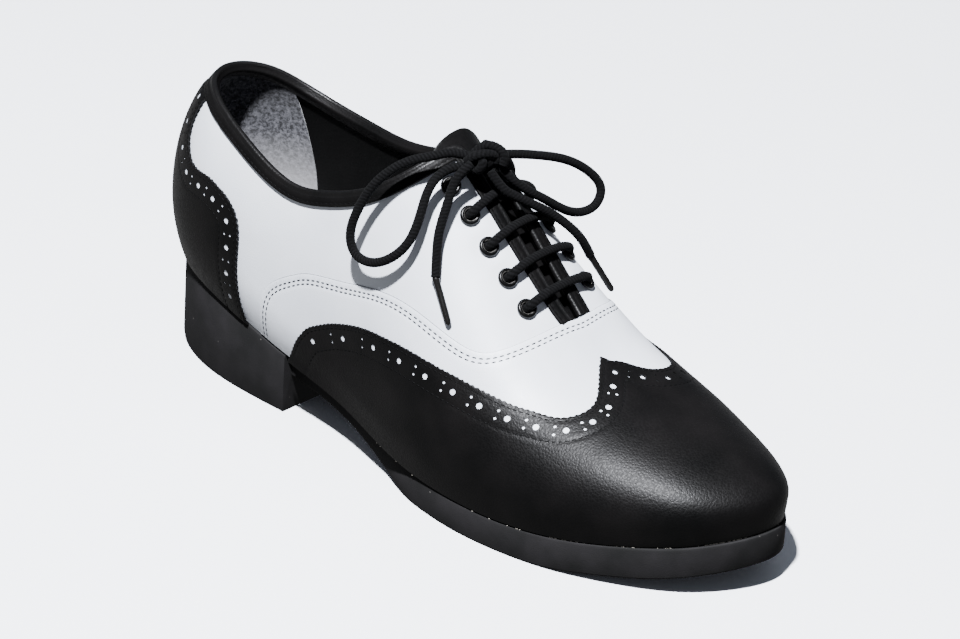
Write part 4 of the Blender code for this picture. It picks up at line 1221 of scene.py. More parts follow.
# %% Brogue band
TOOTH_PITCH, TOOTH_DEPTH, TOOTH_POINTS = 0.0021, 0.0005, 6
OVERLAY_THICK, OVERLAY_LIFT = 0.0011, 0.0006
BAND_ROWS = (0.0018, 0.0094)
HOLE_ROW = 0.0053
LARGE_HOLE, SMALL_HOLE, PAIR_APART, PAIR_GAP = 0.00115, 0.00055, 0.0029, 0.0078
PAIR_SHARE_BEFORE, PAIR_SHARE_AFTER = 0.64, 0.5
BACKING_SHARE, BACKING_SIDES = 0.97, 12
LINE_STEP = 0.0006


def pinked(line):
    """A cut edge with small teeth."""
    even = resampled(line, TOOTH_PITCH / TOOTH_POINTS)
    run = lengths(on_last(even))
    teeth = np.abs((run / TOOTH_PITCH) % 1 - 0.5) * 2 * TOOTH_DEPTH
    return slide(even, rightward(even), teeth, steps=1)


def punch_line(line, start, counted):
    """Large holes at distances along a band from a point of its edge, two small ones in each long gap."""
    row = resampled(beside(line, HOLE_ROW), 0.0005)
    run = lengths(on_last(row))
    run = run - run[np.linalg.norm(on_last(row) - on_last(start), axis=1).argmin()]
    across = rightward(row)
    holes = [(row[np.abs(run - here).argmin()], LARGE_HOLE) for here in counted]
    for here, following in zip(counted, counted[1:]):
        if following - here > PAIR_GAP:
            share = PAIR_SHARE_BEFORE if here < 0 else PAIR_SHARE_AFTER
            i = np.abs(run - here - (following - here) * share).argmin()
            for step in (-PAIR_APART / 2, PAIR_APART / 2):
                holes.append((slide(row[i:i + 1], across[i:i + 1], step, steps=1)[0], SMALL_HOLE))
    return holes


def even_lift(flat):
    """Height of a panel's underside that lies evenly over the quarters."""
    return np.full(len(flat), OVERLAY_LIFT)


def sew_band(name, line, lift=even_lift):
    """Both rows of black stitches along a band."""
    rows = [resampled(beside(line, row), LINE_STEP) for row in BAND_ROWS]
    piece = sew(name, rows, lambda flat: lift(flat) + OVERLAY_THICK - STITCH_SUNK,
                pitch=0.0023, length=0.0015, width=0.00045, finish=BLACK_THREAD)
    put_on_shoe(piece, "black_leather")


def back_holes(name, punched, depth, lift=even_lift):
    """White leather behind the holes of a panel, as small discs that fill them part of the way up."""
    verts, faces = [], []
    for spot, radius in punched:
        ring = disc(spot, radius * BACKING_SHARE, BACKING_SIDES)
        faces.append(tuple(range(len(verts), len(verts) + BACKING_SIDES)))
        verts += list(on_last(ring, lift(ring) + OVERLAY_THICK - depth))
    put_on_shoe(mesh_piece(name, verts, faces, WHITE), "white_leather")

# %% [markdown]
# ## The winged cap
# The cap covers the toe, rises to a peak in the middle and runs back along both sides as wings, down to
# the sole at the waist. Its edge is drawn as two halves that meet at the peak, because the two sides of
# the peak differ. The punched holes are deeper on the inner side, where less of the white shows in them.

# %% Winged toe cap
WING_START, WING_NOSE = 0.0720, 0.0800
WING_TAIL = (
    (0.0790, -0.0344), (0.0808, -0.0330), (0.0860, -0.0296), (0.0929, -0.0279), (0.1020, -0.0269),
    (0.1171, -0.0266), (0.1324, -0.0269), (0.1534, -0.0259), (0.1728, -0.0227), (0.1865, -0.0192),
)
WING_FRONT_OUTER = (
    (0.1921, -0.0172), (0.1986, -0.0149), (0.2027, -0.0125), (0.2054, -0.0091), (0.2052, -0.0062),
    (0.2010, -0.0029), (0.1968, -0.0005), (0.1930, 0.0019),
)
WING_FRONT_INNER = (
    (0.1950, 0.0178), (0.2000, 0.0159), (0.2034, 0.0135), (0.2055, 0.0108), (0.2055, 0.0079),
    (0.2028, 0.0055), (0.1980, 0.0038), (0.1930, 0.0019),
)
WING_HOLES = (
    -0.1535, -0.1360, -0.1180, -0.1035, -0.0905, -0.0780, -0.0670, -0.0560, -0.0455,
    -0.0350, -0.0255, -0.0170, -0.0070, 0.0005, 0.0110, 0.0210, 0.0312, 0.0415,
    0.0520, 0.0630, 0.0745, 0.0870, 0.1010, 0.1165, 0.1340, 0.1520,
)
WING_FLARE, WING_CLEAR = 0.0013, 0.0014
BACKING_DEPTH, DEEP_BACKING = 0.0003, 0.0008
outer_half = smooth_path(WING_TAIL + WING_FRONT_OUTER, 220)
inner_half = smooth_path(np.vstack([mirrored(np.array(WING_TAIL)), WING_FRONT_INNER]), 220)
wing_edge = resampled(np.vstack([outer_half, inner_half[-2::-1]]), LINE_STEP)
wing_start = place_near(-1, WING_START)
wing_holes = punch_line(wing_edge, outer_half[-1], WING_HOLES)
wing_cut = cut_panel(pinked(wing_edge), feather_round(WING_NOSE, WING_CLEAR), wing_holes, wing_start, 3.0)
wing = lasted_panel("winged_toe_cap", wing_cut, wing_edge, even_lift, OVERLAY_THICK, BAND_ROWS, BLACK,
                    flare=WING_FLARE)
put_on_shoe(wing, "black_leather", "wing_cap")
sew_band("wing_stitches", wing_edge)
peak_y = outer_half[-1][1]
back_holes("wing_hole_backing", [hole for hole in wing_holes if hole[0][1] < peak_y], BACKING_DEPTH)
back_holes("wing_hole_backing_inner", [hole for hole in wing_holes if hole[0][1] >= peak_y], DEEP_BACKING)

# %% [markdown]
# ## The heel counter
# The counter wraps the heel, with a rounded tab on each side and a strap that runs up the back and goes in
# under the binding. The panel sinks gently where the binding will cover it, so that neither cuts through
# the other. A seam closes it up the back.

# %% Heel counter
COUNTER_TAB_FOOT, COUNTER_END = 0.057, 0.064
COUNTER_EDGE = (
    (0.0254, -0.0106), (0.0241, -0.0120), (0.0230, -0.0136), (0.0229, -0.0155), (0.0243, -0.0178),
    (0.0276, -0.0201), (0.0335, -0.0213), (0.0405, -0.0222), (0.0453, -0.0228), (0.0493, -0.0236),
    (0.0521, -0.0246), (0.0534, -0.0262), (0.0535, -0.0285), (0.0541, -0.0312), (0.0560, -0.0346),
)
COUNTER_HOLES = (0.0030, 0.0128, 0.0226, 0.0324, 0.0421, 0.0511, 0.0611, 0.0711, 0.0811, 0.0905)
INNER_DROP = 0.0016
STRAP_DROP, STRAP_UNDER, STRAP_EASE, STRAP_SINK = 0.035, 0.0036, 0.0030, 0.0013
BACK_SEAM_FOOT, BACK_SEAM_TOP, BACK_SEAM_SUNK = 0.02, 0.27, 0.0001
collar_places = np.linspace(0, 1.1, 90)
heel_collar = np.vstack([
    on_last(pattern_at(side, collar_places, [edge_rise(side, place) for place in collar_places]))
    for side in (-1, 1)
])


def counter_lift(flat):
    """Height of the counter's underside: over the quarters, and sunk under the binding along the collar."""
    clear = np.clip((nearest(on_last(flat), heel_collar) - STRAP_UNDER) / STRAP_EASE, 0, 1)
    return OVERLAY_LIFT - STRAP_SINK * (1 - clear) ** 2 * (1 + 2 * clear)


strap_top = pattern_at(-1, 0.0, edge_rise(-1, 0.0) - STRAP_DROP)[0]
outer_run = smooth_path(COUNTER_EDGE, 120)
inner_run = mirrored(outer_run)
top_line = np.vstack([np.linspace(inner_run[0], strap_top, 20),
                      np.linspace(strap_top, outer_run[0], 20)[1:]])
tab_places = [np.linspace(0, place_near(side, COUNTER_TAB_FOOT), 160) for side in (-1, 1)]
counter_foot = np.vstack([feather_run(-1, tab_places[0])[::-1], feather_run(1, tab_places[1])[1:]])
counter_edges = [resampled(inner_run[::-1], LINE_STEP), resampled(outer_run, LINE_STEP)]
inner_holes = tuple(-INNER_DROP - run for run in COUNTER_HOLES[::-1])
counter_holes = punch_line(counter_edges[0], inner_run[0], inner_holes)
counter_holes += punch_line(counter_edges[1], outer_run[0], COUNTER_HOLES)
counter_top = np.vstack([pinked(counter_edges[0]), top_line[1:-1], pinked(counter_edges[1])])
counter_cut = cut_panel(counter_top, counter_foot, counter_holes, 0.0, place_near(-1, COUNTER_END))
counter = lasted_panel("heel_counter_panel", counter_cut, np.vstack(counter_edges), counter_lift,
                       OVERLAY_THICK, BAND_ROWS, BLACK)
put_on_shoe(counter, "black_leather", "heel_counter")
back_holes("counter_hole_backing", counter_holes, BACKING_DEPTH, counter_lift)
for word, edge in zip(("inner", "outer"), counter_edges):
    sew_band("counter_stitches_" + word, edge, counter_lift)
seam_line = pattern_at(-1, np.zeros(60), np.linspace(BACK_SEAM_FOOT, BACK_SEAM_TOP, 60))
back_seam = sew("counter_back_seam", [seam_line], OVERLAY_LIFT + OVERLAY_THICK - BACK_SEAM_SUNK,
                pitch=0.0010, length=0.0013, width=0.0004, finish=BLACK_THREAD)
put_on_shoe(back_seam, "black_leather")

# %% [markdown]
# ## The binding
# A strip of black leather is folded over the collar and down both facings: a flat stitched band outside,
# dull from handling, a hard shiny roll on the edge itself, and a turned-in band over the lining. Its
# section is swept along the edge. The bands follow the last, so that they lie flat on it, and the roll is
# an arc of its own.

# %% Binding along the collar and the facings
BINDING_WIDTH = 0.0043
BINDING_FOOT = 0.1793
EDGE_RUNS = (
    # from, to, spacing
    (0.034, 0.108, 0.0012), (0.108, 0.130, 0.0006), (0.130, BINDING_FOOT, 0.0012),
)
COLLAR_STEP, EASE_ROUNDS = 0.0010, 12
ROLL_RADIUS = 0.0011
ROLL_CENTRE = (0.0004, 0.0002)
ROLL_ANGLES = np.radians((130, 105, 80, 55, 30, 5, -20, -45, -70))
STITCH_BACK = 0.0031
BINDING_BAND = (
    # back from the edge, height over the last
    (BINDING_WIDTH, 0.00030), (BINDING_WIDTH, 0.00095), (BINDING_WIDTH - 0.0002, 0.00120),
    (0.0034, 0.00122), (STITCH_BACK, 0.00108), (0.0028, 0.00122), (0.0016, 0.00130), (0.0010, 0.00112),
)
BINDING_INSIDE = (
    # back from the edge, height over the last
    (-0.00060, -0.00220), (-0.00010, -0.00270), (0.00100, -0.00280), (0.00360, -0.00262),
    (0.00380, -0.00238), (0.00380, -0.00208), (-0.00012, -0.00208), (-0.00012, 0.00026),
)


def edge_line(side):
    """Pattern points of the collar's edge from the heel back to the throat."""
    run = np.concatenate([*(np.arange(*stretch) for stretch in EDGE_RUNS), [BINDING_FOOT]])
    places = np.concatenate([np.linspace(0, 1, 60)[:-1], place_of(run)])
    return pattern_at(side, places, [edge_rise(side, place) for place in places])


def eased(line):
    """A line of pattern points with its sharp corners rounded and its ends kept."""
    for _ in range(EASE_ROUNDS):
        middle = (line[:-2] + line[1:-1] + line[2:]) / 3
        line = np.vstack([line[:1], middle, line[-1:]])
    return line


collar = eased(resampled(np.vstack([edge_line(-1)[::-1], edge_line(1)[1:]]), COLLAR_STEP))
beyond = rightward(collar)
beyond /= np.linalg.norm(beyond, axis=1)[:, None]
outward = axes_at(collar)[2]
roll_middle = on_last(collar) + beyond * ROLL_CENTRE[0] + outward * ROLL_CENTRE[1]
band, inside = ([on_last(slide(collar, -beyond, back_by, steps=3), height) for back_by, height in rows]
                for rows in (BINDING_BAND, BINDING_INSIDE))
roll = [roll_middle + (beyond * math.cos(a) + outward * math.sin(a)) * ROLL_RADIUS for a in ROLL_ANGLES]
sections = np.stack(band + roll + inside, axis=1)
count, around = sections.shape[:2]
faces = grid_faces(count, around, around=True)
on_roll = [len(band) - 1 <= i % around < len(band) + len(roll) - 1 for i in range(len(faces))]
faces.append(tuple(range(around)))
faces.append(tuple(range(around * (count - 1), around * count)))
binding = mesh_piece("collar_binding", sections.reshape(-1, 3), faces, DULLED, POLISHED)
binding.data.polygons.foreach_set("material_index", [int(shiny) for shiny in on_roll] + [0, 0])
edit(binding, ("normals_make_consistent", {}))
binding.data.set_sharp_from_angle(angle=math.radians(60))
put_on_shoe(binding, "black_leather", "topline_binding")
band_row = resampled(slide(collar, -beyond, STITCH_BACK, steps=3), LINE_STEP)
binding_sewing = sew("binding_stitches", [band_row], 0.00112,
                     pitch=0.0022, length=0.0015, width=0.00042, finish=BLACK_THREAD)
put_on_shoe(binding_sewing, "black_leather")

# %% [markdown]
# ## The tongue
# The tongue is a plain strip of black leather under the lacing, rounded at its top, which stands up behind
# the knot. A flat grid is pulled over the last below the facings, Solidify gives its thickness and Bevel
# its soft cut edge.

# %% Tongue
TONGUE_THICK = 0.0018
TONGUE_DROP = WALL + 0.0014
TONGUE_ROWS = (
    # from_heel, pattern half width, turned in
    (0.1920, 0.0095, 0.0000), (0.1700, 0.0095, 0.0000), (0.1480, 0.0098, 0.0000),
    (0.1340, 0.0106, -0.0004), (0.1272, 0.0104, -0.0004), (0.1234, 0.0090, -0.0002),
    (0.1213, 0.0052, 0.0000),
)
TIP_LIFT, TIP_START, TIP_RUN = 0.0026, 0.1340, 0.0125
rows = smooth_path(TONGUE_ROWS, 70)
shares = np.linspace(-1, 1, 27)
flat = np.array([(x, spine([x])[0] + turned_in + half * share)
                 for x, half, turned_in in rows for share in shares])
stands_up = TIP_LIFT * np.clip((TIP_START - flat[:, 0]) / TIP_RUN, 0, 1) ** 2
tongue_faces = grid_faces(len(rows), len(shares))
tongue = mesh_piece("leather_tongue", on_last(flat, stands_up - TONGUE_DROP), tongue_faces, POLISHED)
face_outwards(tongue, FOOT_SPACE)
modify(tongue, "SOLIDIFY", thickness=TONGUE_THICK, offset=-1.0, use_even_offset=True)
modify(tongue, "BEVEL", width=0.0005, segments=3, limit_method="ANGLE", angle_limit=SHARP_EDGE)
tongue.data.shade_smooth()
put_on_shoe(tongue, "black_leather", "tongue")

# %% [markdown]
# ## Eyelets
# Each eyelet is a small metal tube with a rolled flange, pressed through the facing and clinched inside,
# and painted black. The lace has rubbed the paint off the lip of the bore, which glints. The profile says
# how worn each of its points is, and the finish breaks that up with chips.

# %% Enamelled eyelets
EYELET_SIDES = 36
EYELET_PROFILE = (
    # radius, height over the last, worn bright
    (0.00215, -0.0028, 0.0), (0.00200, -0.0022, 0.2), (0.00200, 0.0007, 0.5), (0.00212, 0.00115, 1.0),
    (0.00240, 0.00140, 0.6), (0.00285, 0.00148, 0.1), (0.00330, 0.00130, 0.0), (0.00358, 0.00085, 0.0),
    (0.00362, 0.00040, 0.0), (0.00355, 0.00015, 0.0), (0.00245, 0.00010, 0.0), (0.00245, -0.0022, 0.0),
    (0.00310, -0.0023, 0.0), (0.00325, -0.0026, 0.0), (0.00290, -0.0029, 0.0), (0.00240, -0.0030, 0.0),
    (0.00215, -0.0028, 0.0),
)


def black_enamel():
    """Stoved black enamel on metal: glossy, thin, and bare metal where the lace rubs."""
    made, shader = new_material("black_enamel")
    place = add_node(made, "ShaderNodeTexCoord", {}).outputs["Object"]
    rim = add_node(made, "ShaderNodeAttribute", {}, attribute_name="worn").outputs["Fac"]
    chips = add_node(made, "ShaderNodeTexNoise", {"Vector": place, "Scale": per_mm(1.2), "Detail": 4.0})
    chips = chips.outputs["Fac"]
    bare = add_node(made, "ShaderNodeMath", {0: rim, 1: chips}, operation="MULTIPLY")
    shown = add_node(made, "ShaderNodeMapRange", {"Value": bare.outputs[0], 1: 0.32, 2: 0.5}).outputs[0]
    rubbed_and_painted_light = {0: shown, 6: linear("040404"), 7: linear("9a9893")}
    tone = add_node(made, "ShaderNodeMix", rubbed_and_painted_light, data_type="RGBA")
    gloss = add_node(made, "ShaderNodeMapRange", {"Value": chips, 3: 0.2, 4: 0.38})
    feed(made, shader, {
        "Base Color": tone.outputs[2], "Metallic": shown, "Roughness": gloss.outputs[0],
        "Specular IOR Level": 0.15,
    })
    return made


ENAMEL = black_enamel()
for (side, row), spot in EYELETS.items():
    word = f"{'outer' if side < 0 else 'inner'}_{row + 1}"
    place = np.atleast_2d(spot)
    ring = turned("eyelet_ring_" + word, EYELET_PROFILE, EYELET_SIDES, on_last(place)[0],
                  axes_at(place)[2][0], ENAMEL)
    put_on_shoe(ring, "eyelet_enamel", "eyelet_" + word)

# %% [markdown]
# ## The sole
# Sole and heel are one moulding of black rubber. Its side follows the feather line: flush at the heel, set
# in along the waist and standing out round the forefoot. It is a run of rings from the top edge to the
# bottom, closed across underneath, and the jump from heel to waist is the upright breast. The ribs of the
# tread are bump, and show only where the surface faces down. The mould's texture is drawn at 0.5 mm so
# that it shows.

# %% Moulded rubber
def moulded_rubber():
    """Matt black: fine mould texture, pale dust specks, a patchy gloss, ribs of tread underneath."""
    made, shader = new_material("moulded_rubber")
    coordinates = add_node(made, "ShaderNodeTexCoord", {})
    place = coordinates.outputs["Object"]
    cloud = add_node(made, "ShaderNodeTexNoise", {"Vector": place, "Scale": per_mm(14), "Detail": 6.0})
    cloud = cloud.outputs["Fac"]
    tone = add_node(made, "ShaderNodeValToRGB", {"Fac": cloud})
    tone.color_ramp.elements[0].color = linear("171717")
    tone.color_ramp.elements[1].color = linear("201f20")
    tone.color_ramp.elements[0].position = 0.35
    tone.color_ramp.elements[1].position = 0.7
    speck = add_node(made, "ShaderNodeTexVoronoi", {"Vector": place, "Scale": per_mm(7.5)})
    near = {"Value": speck.outputs["Distance"], 1: 0.02, 2: 0.05, 3: 0.55, 4: 0.0}
    dust = add_node(made, "ShaderNodeMapRange", near)
    patchy = add_node(made, "ShaderNodeMath", {0: dust.outputs[0], 1: cloud}, operation="MULTIPLY")
    specks = {0: patchy.outputs[0], 6: tone.outputs["Color"], 7: linear("8f8b85")}
    dusty = add_node(made, "ShaderNodeMix", specks, data_type="RGBA")
    pebble = add_node(made, "ShaderNodeTexNoise", {"Vector": place, "Scale": per_mm(0.5), "Detail": 3.0})
    # The wave texture turns through 20 radians in a unit of scaled length, so a rib is 2.2 mm wide
    waves = {"Vector": place, "Scale": per_mm(2.2) / 20 * math.pi, "Distortion": 0.0}
    rib = add_node(made, "ShaderNodeTexWave", waves).outputs["Fac"]
    down = add_node(made, "ShaderNodeSeparateXYZ", {"Vector": coordinates.outputs["Normal"]}).outputs["Z"]
    under = add_node(made, "ShaderNodeMapRange", {"Value": down, 1: -0.8, 2: -0.95})
    tread = add_node(made, "ShaderNodeMath", {0: rib, 1: under.outputs[0]}, operation="MULTIPLY")
    ribbed = add_node(made, "ShaderNodeBump", {"Height": tread.outputs[0], "Distance": 0.0006})
    bump = add_node(made, "ShaderNodeBump", {
        "Height": pebble.outputs["Fac"], "Distance": 0.00012, "Strength": 0.5,
        "Normal": ribbed.outputs["Normal"],
    })
    gloss = add_node(made, "ShaderNodeMapRange", {"Value": cloud, 3: 0.55, 4: 0.82})
    feed(made, shader, {
        "Base Color": dusty.outputs[2], "Roughness": gloss.outputs[0], "Normal": bump.outputs["Normal"],
        "Specular IOR Level": 0.06,
    })
    return made


RUBBER = moulded_rubber()

# %% Sole rings
SOLE_GAP = 0.0003
SOLE_ROWS = (
    # from_heel, bottom, stands_out, chamfer
    (0.0760, 0.0142, -0.0022, 0.0006), (0.0900, 0.0118, -0.0024, 0.0006), (0.1100, 0.0076, -0.0018, 0.0006),
    (0.1300, 0.0030, -0.0006, 0.0006), (0.1450, 0.0004, 0.0018, 0.0006), (0.1500, 0.0000, 0.0024, 0.0006),
    (0.1700, 0.0000, 0.0032, 0.0006), (0.2060, 0.0000, 0.0036, 0.0006), (0.2150, 0.0005, 0.0038, 0.0006),
    (0.2450, 0.0050, 0.0042, 0.0006), (0.2720, 0.0110, 0.0044, 0.0006),
)
HEEL_ROWS = (
    # from_heel, bottom, stands_out, chamfer
    (-0.004, 0.0000, 0.0010, 0.0026), (0.020, 0.0000, 0.0010, 0.0018), (0.045, 0.0000, 0.0010, 0.0006),
    (0.076, 0.0000, 0.0010, 0.0006),
)
BREAST, BREAST_LEAD = 0.0755, 0.0005
EASE = np.linspace(-0.005, 0.005, 11)
RINGS = (
    # from the top: metres out, metres up; from the bottom: share of the chamfer in, share of it up
    ("top", -0.0009, 0.0), ("top", -0.0003, -0.0002), ("top", 0.0, -0.0009),
    ("bottom", 0.0, 1.25), ("bottom", 0.18, 0.62), ("bottom", 0.62, 0.18), ("bottom", 1.25, 0.0),
)


def beyond_feather(side, places, out):
    """Plan points that far out from the feather line at places."""
    foot = outline_at(side, places)
    hub = centre(foot[:, 0])
    reach = np.hypot(*(foot - hub).T)
    return hub + (foot - hub) * ((reach - tuck(foot[:, 0]) + out) / reach)[:, None]


def sole_rings(rows, places):
    """Rings of one stretch of the sole from its top to its bottom, each with outer and inner points."""
    table = np.array(rows)
    rings = np.zeros((len(RINGS), len(places), 2, 3))
    for k, side in enumerate((-1, 1)):
        x = outline_at(side, places)[:, 0]
        near = np.clip(x[:, None] + EASE, table[0, 0], table[-1, 0])
        bottom, out, chamfer = (np.interp(near, table[:, 0], table[:, c]).mean(axis=1) for c in (1, 2, 3))
        for level, (end, sideways, upwards) in enumerate(RINGS):
            if end == "top":
                rings[level, :, k, :2] = beyond_feather(side, places, out + sideways)
                rings[level, :, k, 2] = seat(x) - SOLE_GAP + upwards
            else:
                rings[level, :, k, :2] = beyond_feather(side, places, out - sideways * chamfer)
                rings[level, :, k, 2] = bottom + upwards * chamfer
    return rings


def ring_piece(name, rings, finish):
    """A solid closed across between rings of outer and inner points."""
    levels, stations = rings.shape[:2]
    index = np.arange(levels * stations * 2).reshape(levels, stations, 2)
    faces = []
    for k in (0, 1):
        near, next_ring = index[:-1, :, k], index[1:, :, k]
        corners = near[:, :-1], near[:, 1:], next_ring[:, 1:], next_ring[:, :-1]
        faces += np.stack(corners, axis=-1).reshape(-1, 4).tolist()
    for level in (0, levels - 1):
        a, b = index[level, :, 0], index[level, :, 1]
        faces += np.stack([a[:-1], b[:-1], b[1:], a[1:]], axis=-1).tolist()
    piece = mesh_piece(name, rings.reshape(-1, 3) + HOME, faces, finish)
    edit(piece, ("remove_doubles", {"threshold": 1e-6}), ("dissolve_degenerate", {"threshold": 1e-6}),
         ("normals_make_consistent", {}))
    piece.data.set_sharp_from_angle(angle=math.radians(40))
    return piece


heel_run, fore_run = np.linspace(HEEL_CENTRE, BREAST, 20), np.linspace(BREAST + BREAST_LEAD, TOE_CENTRE, 70)
heel_places = np.concatenate([np.linspace(0, 1, 40)[:-1], place_of(heel_run)])
fore_places = np.concatenate([place_of(fore_run), np.linspace(2, 3, 40)[1:]])
stretches = (HEEL_ROWS, heel_places), (SOLE_ROWS, fore_places)
rings = np.concatenate([sole_rings(*stretch) for stretch in stretches], axis=1)
sole = ring_piece("moulded_sole", rings, RUBBER)
put_on_shoe(sole, "black_rubber", "sole")

# %% [markdown]
# ## Flecks of cement
# The upper is glued to the sole, and a little cement has been squeezed out of the joint and has dried
# there in pale flecks. They come in small groups along the edge of the forefoot. A seeded draw gives each
# group its place and each fleck its size, so that every run makes the same ones. A fleck is the ball of a
# stitch, stretched along the edge.

# %% Flecks of cement
FLECK_GROUPS, FLECKS_EACH, FLECK_SPREAD = 11, 5, 0.04
FLECK_START, FLECK_REACH = 0.140, (1.5, 3.0)
FLECK_OUT, FLECK_UP, FLECK_STEP = 0.0031, 0.0001, 0.002
FLECK_LONG, FLECK_WIDE = (0.0003, 0.0012), (0.00015, 0.0003)


def dried_cement():
    """Shoe cement that was squeezed out of the joint and dried: pale, waxy, a little yellow."""
    made, shader = new_material("dried_cement")
    place = add_node(made, "ShaderNodeTexCoord", {}).outputs["Object"]
    cloud = add_node(made, "ShaderNodeTexNoise", {"Vector": place, "Scale": per_mm(1.0), "Detail": 2.0})
    tone = add_node(made, "ShaderNodeValToRGB", {"Fac": cloud.outputs["Fac"]})
    tone.color_ramp.elements[0].color = linear("6f6b62")
    tone.color_ramp.elements[1].color = linear("c4bfb3")
    feed(made, shader, {"Base Color": tone.outputs["Color"], "Roughness": 0.5})
    return made


draw = np.random.default_rng(7)
verts, faces = [], []
for side in (-1, 1):
    groups = draw.uniform(place_of(FLECK_START), FLECK_REACH[1], FLECK_GROUPS)
    scatter = draw.normal(0, FLECK_SPREAD, (FLECK_GROUPS, FLECKS_EACH))
    places = np.clip((groups[:, None] + scatter).reshape(-1), *FLECK_REACH)
    plan = beyond_feather(side, places, FLECK_OUT)
    ahead = beyond_feather(side, np.clip(places + FLECK_STEP, 0, 3), FLECK_OUT)
    onward = ahead - beyond_feather(side, places - FLECK_STEP, FLECK_OUT)
    onward /= np.linalg.norm(onward, axis=1)[:, None]
    for spot, way in zip(plan, onward):
        long, wide = draw.uniform(*FLECK_LONG), draw.uniform(*FLECK_WIDE)
        local = STITCH_VERTS * (long, wide, wide)
        turned_round = np.column_stack([local[:, 0] * way[0] - local[:, 1] * way[1],
                                        local[:, 0] * way[1] + local[:, 1] * way[0], local[:, 2]])
        faces += [tuple(len(verts) + v for v in face) for face in STITCH_FACES]
        verts += list(turned_round + (*spot, seat(spot[:1])[0] - SOLE_GAP + FLECK_UP) + HOME)
put_on_shoe(mesh_piece("cement_flecks", verts, faces, dried_cement()), "black_rubber")

# %% [markdown]
# ## Inside the shoe
# A thin black sock covers the insole board. It is closed between four rings, as the sole is, with a
# bevelled top edge. At the back of the heel a patch of grey suede is glued over the lining, so that the
# heel doesn't slip. Its nap is brushed, so light and dark fibres make it look speckled. Real fibres are
# far finer, and are drawn in tufts of 1.5 mm so that they show.

# %% Insole
INSOLE_THICK, INSOLE_INSET = 0.0020, 0.0036
INSOLE_RINGS = (
    # further in, height over the seat
    (0.0006, INSOLE_THICK), (0.0, INSOLE_THICK - 0.0005), (0.0, 0.0003), (0.0004, 0.0),
)
insole_run = place_of(np.linspace(HEEL_CENTRE, TOE_CENTRE, 60))
insole_places = np.concatenate([np.linspace(0, 1, 24)[:-1], insole_run, np.linspace(2, 3, 24)[1:]])
insole_rings = np.zeros((len(INSOLE_RINGS), len(insole_places), 2, 3))
for level, (inset, up_by) in enumerate(INSOLE_RINGS):
    for k, side in enumerate((-1, 1)):
        plan = beyond_feather(side, insole_places, -INSOLE_INSET - inset)
        insole_rings[level, :, k] = np.column_stack([plan, seat(plan[:, 0]) + up_by])
insole = ring_piece("sock_insole", insole_rings, LINING)
put_on_shoe(insole, "insole_lining", "insole")

# %% Heel grip
GRIP_LOW, GRIP_PLACE_LOW, GRIP_PLACE_TOP, GRIP_UNDER = 0.03, 0.95, 0.72, 0.030
GRIP_THICK = 0.0006
GRIP_ROWS, GRIP_COLUMNS = 81, 40
HEEL_SPACE = HOME + (0.04, 0.0, 0.07)


def napped_suede():
    """Grey suede: no gloss, a brushed nap of light and dark fibres, with painted light that makes it paler
    towards the bottom.
    """
    made, shader = new_material("napped_suede")
    place = add_node(made, "ShaderNodeTexCoord", {}).outputs["Object"]
    tufts = {"Vector": place, "Scale": per_mm(1.5), "Detail": 4.0, "Roughness": 0.7}
    nap = add_node(made, "ShaderNodeTexNoise", tufts).outputs["Fac"]
    tone = add_node(made, "ShaderNodeValToRGB", {"Fac": nap})
    tone.color_ramp.elements[0].color = linear("141519")
    tone.color_ramp.elements[1].color = linear("6a6a70")
    tone.color_ramp.elements[0].position = 0.4
    tone.color_ramp.elements[1].position = 0.66
    height = add_node(made, "ShaderNodeSeparateXYZ", {"Vector": place}).outputs["Z"]
    # Painted light: the suede turns paler lower down, where the key light falls on the wall more squarely
    rubbed_and_painted_light = add_node(made, "ShaderNodeMapRange", {"Value": height, 1: 0.074, 2: 0.048, 3: 0.0, 4: 0.9})
    pale = {0: rubbed_and_painted_light.outputs[0], 6: tone.outputs["Color"], 7: linear("868586")}
    mixed = add_node(made, "ShaderNodeMix", pale, data_type="RGBA")
    bump = add_node(made, "ShaderNodeBump", {"Height": nap, "Distance": 0.0004, "Strength": 0.5})
    feed(made, shader, {
        "Base Color": mixed.outputs[2], "Normal": bump.outputs["Normal"], "Roughness": 0.95,
        "Specular IOR Level": 0.1, "Sheen Weight": 0.2,
    })
    return made


points = []
for share in np.linspace(-1, 1, GRIP_ROWS):
    side = -1 if share < 0 else 1
    climb = np.linspace(0, 1, GRIP_COLUMNS)
    places = abs(share) * (GRIP_PLACE_LOW + (GRIP_PLACE_TOP - GRIP_PLACE_LOW) * climb)
    top = edge_rise(side, abs(share) * GRIP_PLACE_TOP) - GRIP_UNDER
    strip = pattern_at(side, places, GRIP_LOW + (top - GRIP_LOW) * climb)
    points.append(on_last(strip, -WALL - GRIP_THICK))
grip_faces = grid_faces(GRIP_ROWS, GRIP_COLUMNS)
grip = mesh_piece("suede_heel_grip", np.vstack(points), grip_faces, napped_suede())
face_outwards(grip, HEEL_SPACE)
edit(grip, ("flip_normals", {}))
modify(grip, "SOLIDIFY", thickness=GRIP_THICK, offset=-1.0)
put_on_shoe(grip, "insole_lining")

# %% [markdown]
# ## Studio
# The shoe stands on a plain pale sheet. A small key light, high over the outer side and towards the toe,
# gives the bow its shadow on the quarter and the toe its highlight. A wide, low and weak fill light behind
# the inner side lifts its shade. The surround is paler below than above: it stands for the light that the
# sheet throws back, which can then be graded without changing the sheet itself.

# %% Floor
FLOOR_SIZE = 8


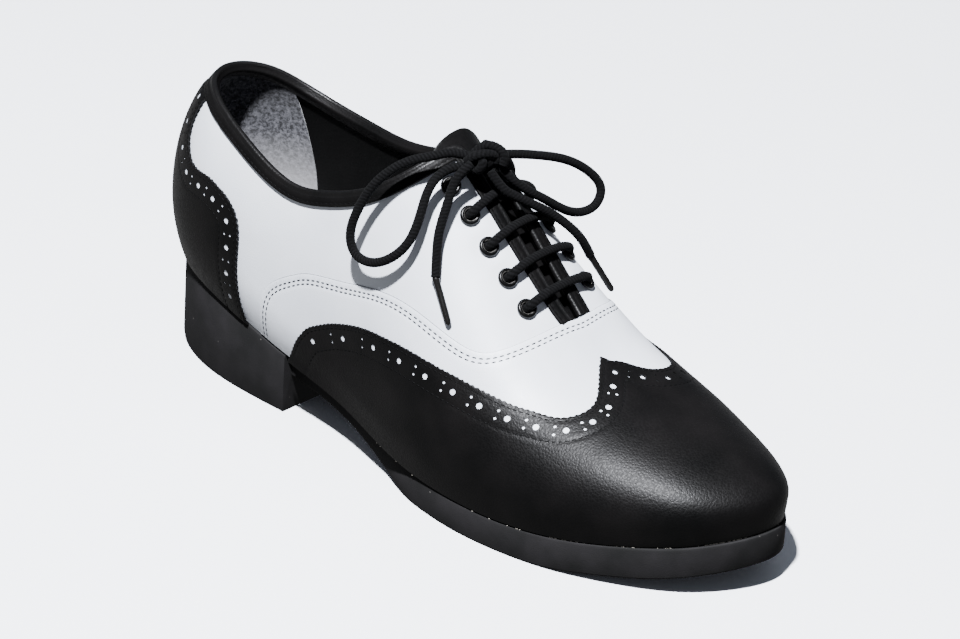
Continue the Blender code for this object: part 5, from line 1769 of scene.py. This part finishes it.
def pale_paper():
    """Matt white paper with a slight cool cast and hardly any texture."""
    made, shader = new_material("pale_paper")
    place = add_node(made, "ShaderNodeTexCoord", {}).outputs["Object"]
    cloud = add_node(made, "ShaderNodeTexNoise", {"Vector": place, "Scale": per_mm(160), "Detail": 3.0})
    tone = add_node(made, "ShaderNodeValToRGB", {"Fac": cloud.outputs["Fac"]})
    tone.color_ramp.elements[0].color = linear("eef1f5")
    tone.color_ramp.elements[1].color = linear("f4f6f9")
    feed(made, shader, {"Base Color": tone.outputs["Color"], "Roughness": 0.85})
    return made


bpy.ops.object.select_all(action="DESELECT")
bpy.ops.mesh.primitive_plane_add(size=FLOOR_SIZE)
floor = bpy.context.object
floor.name = "paper_floor"
floor.data.materials.append(pale_paper())
# The sheet is left out of bounced light and reflections, and the surround's paler half stands for it
floor.visible_diffuse = False
floor.visible_glossy = False

# %% Lights
LIGHT_TARGET = Vector((0.0, 0.0, 0.05))
STRENGTH_BELOW, STRENGTH_ABOVE = 0.78, 0.31
HORIZON_BLEND = 0.2


def disc_light(name, place, size, power, code):
    """A round area light that looks at the shoe."""
    look = (LIGHT_TARGET - Vector(place)).to_track_quat("-Z", "Y").to_euler()
    bpy.ops.object.light_add(type="AREA", location=place, rotation=look)
    light = bpy.context.object
    light.name = name
    light.data.shape = "DISK"
    light.data.size = size
    light.data.energy = power
    light.data.color = linear(code)[:3]
    print(name, "-", power, "W from", place)
    return light


disc_light("key_light", (0.31, -0.78, 1.93), 0.10, 280, "f7f9ff")
fill = disc_light("fill_light", (-0.9, 1.3, 0.30), 0.9, 6, "e8eefc")
# The fill lifts the shade without a highlight of its own
fill.visible_glossy = False

world = bpy.data.worlds.new("cool_surround")
world.use_nodes = True
facing = add_node(world, "ShaderNodeTexCoord", {}).outputs["Generated"]
height = add_node(world, "ShaderNodeSeparateXYZ", {"Vector": facing}).outputs["Z"]
upward = add_node(world, "ShaderNodeMapRange", {"Value": height, 1: -HORIZON_BLEND, 2: HORIZON_BLEND})
upward = upward.outputs[0]
strength = add_node(world, "ShaderNodeMapRange", {"Value": upward, 3: STRENGTH_BELOW, 4: STRENGTH_ABOVE})
hues = {0: upward, 6: linear("d4d4d5"), 7: linear("b4bac9")}
hue = add_node(world, "ShaderNodeMix", hues, data_type="RGBA")
surround = world.node_tree.nodes["Background"]
feed(world, surround, {"Color": hue.outputs[2], "Strength": strength.outputs[0]})
bpy.context.scene.world = world
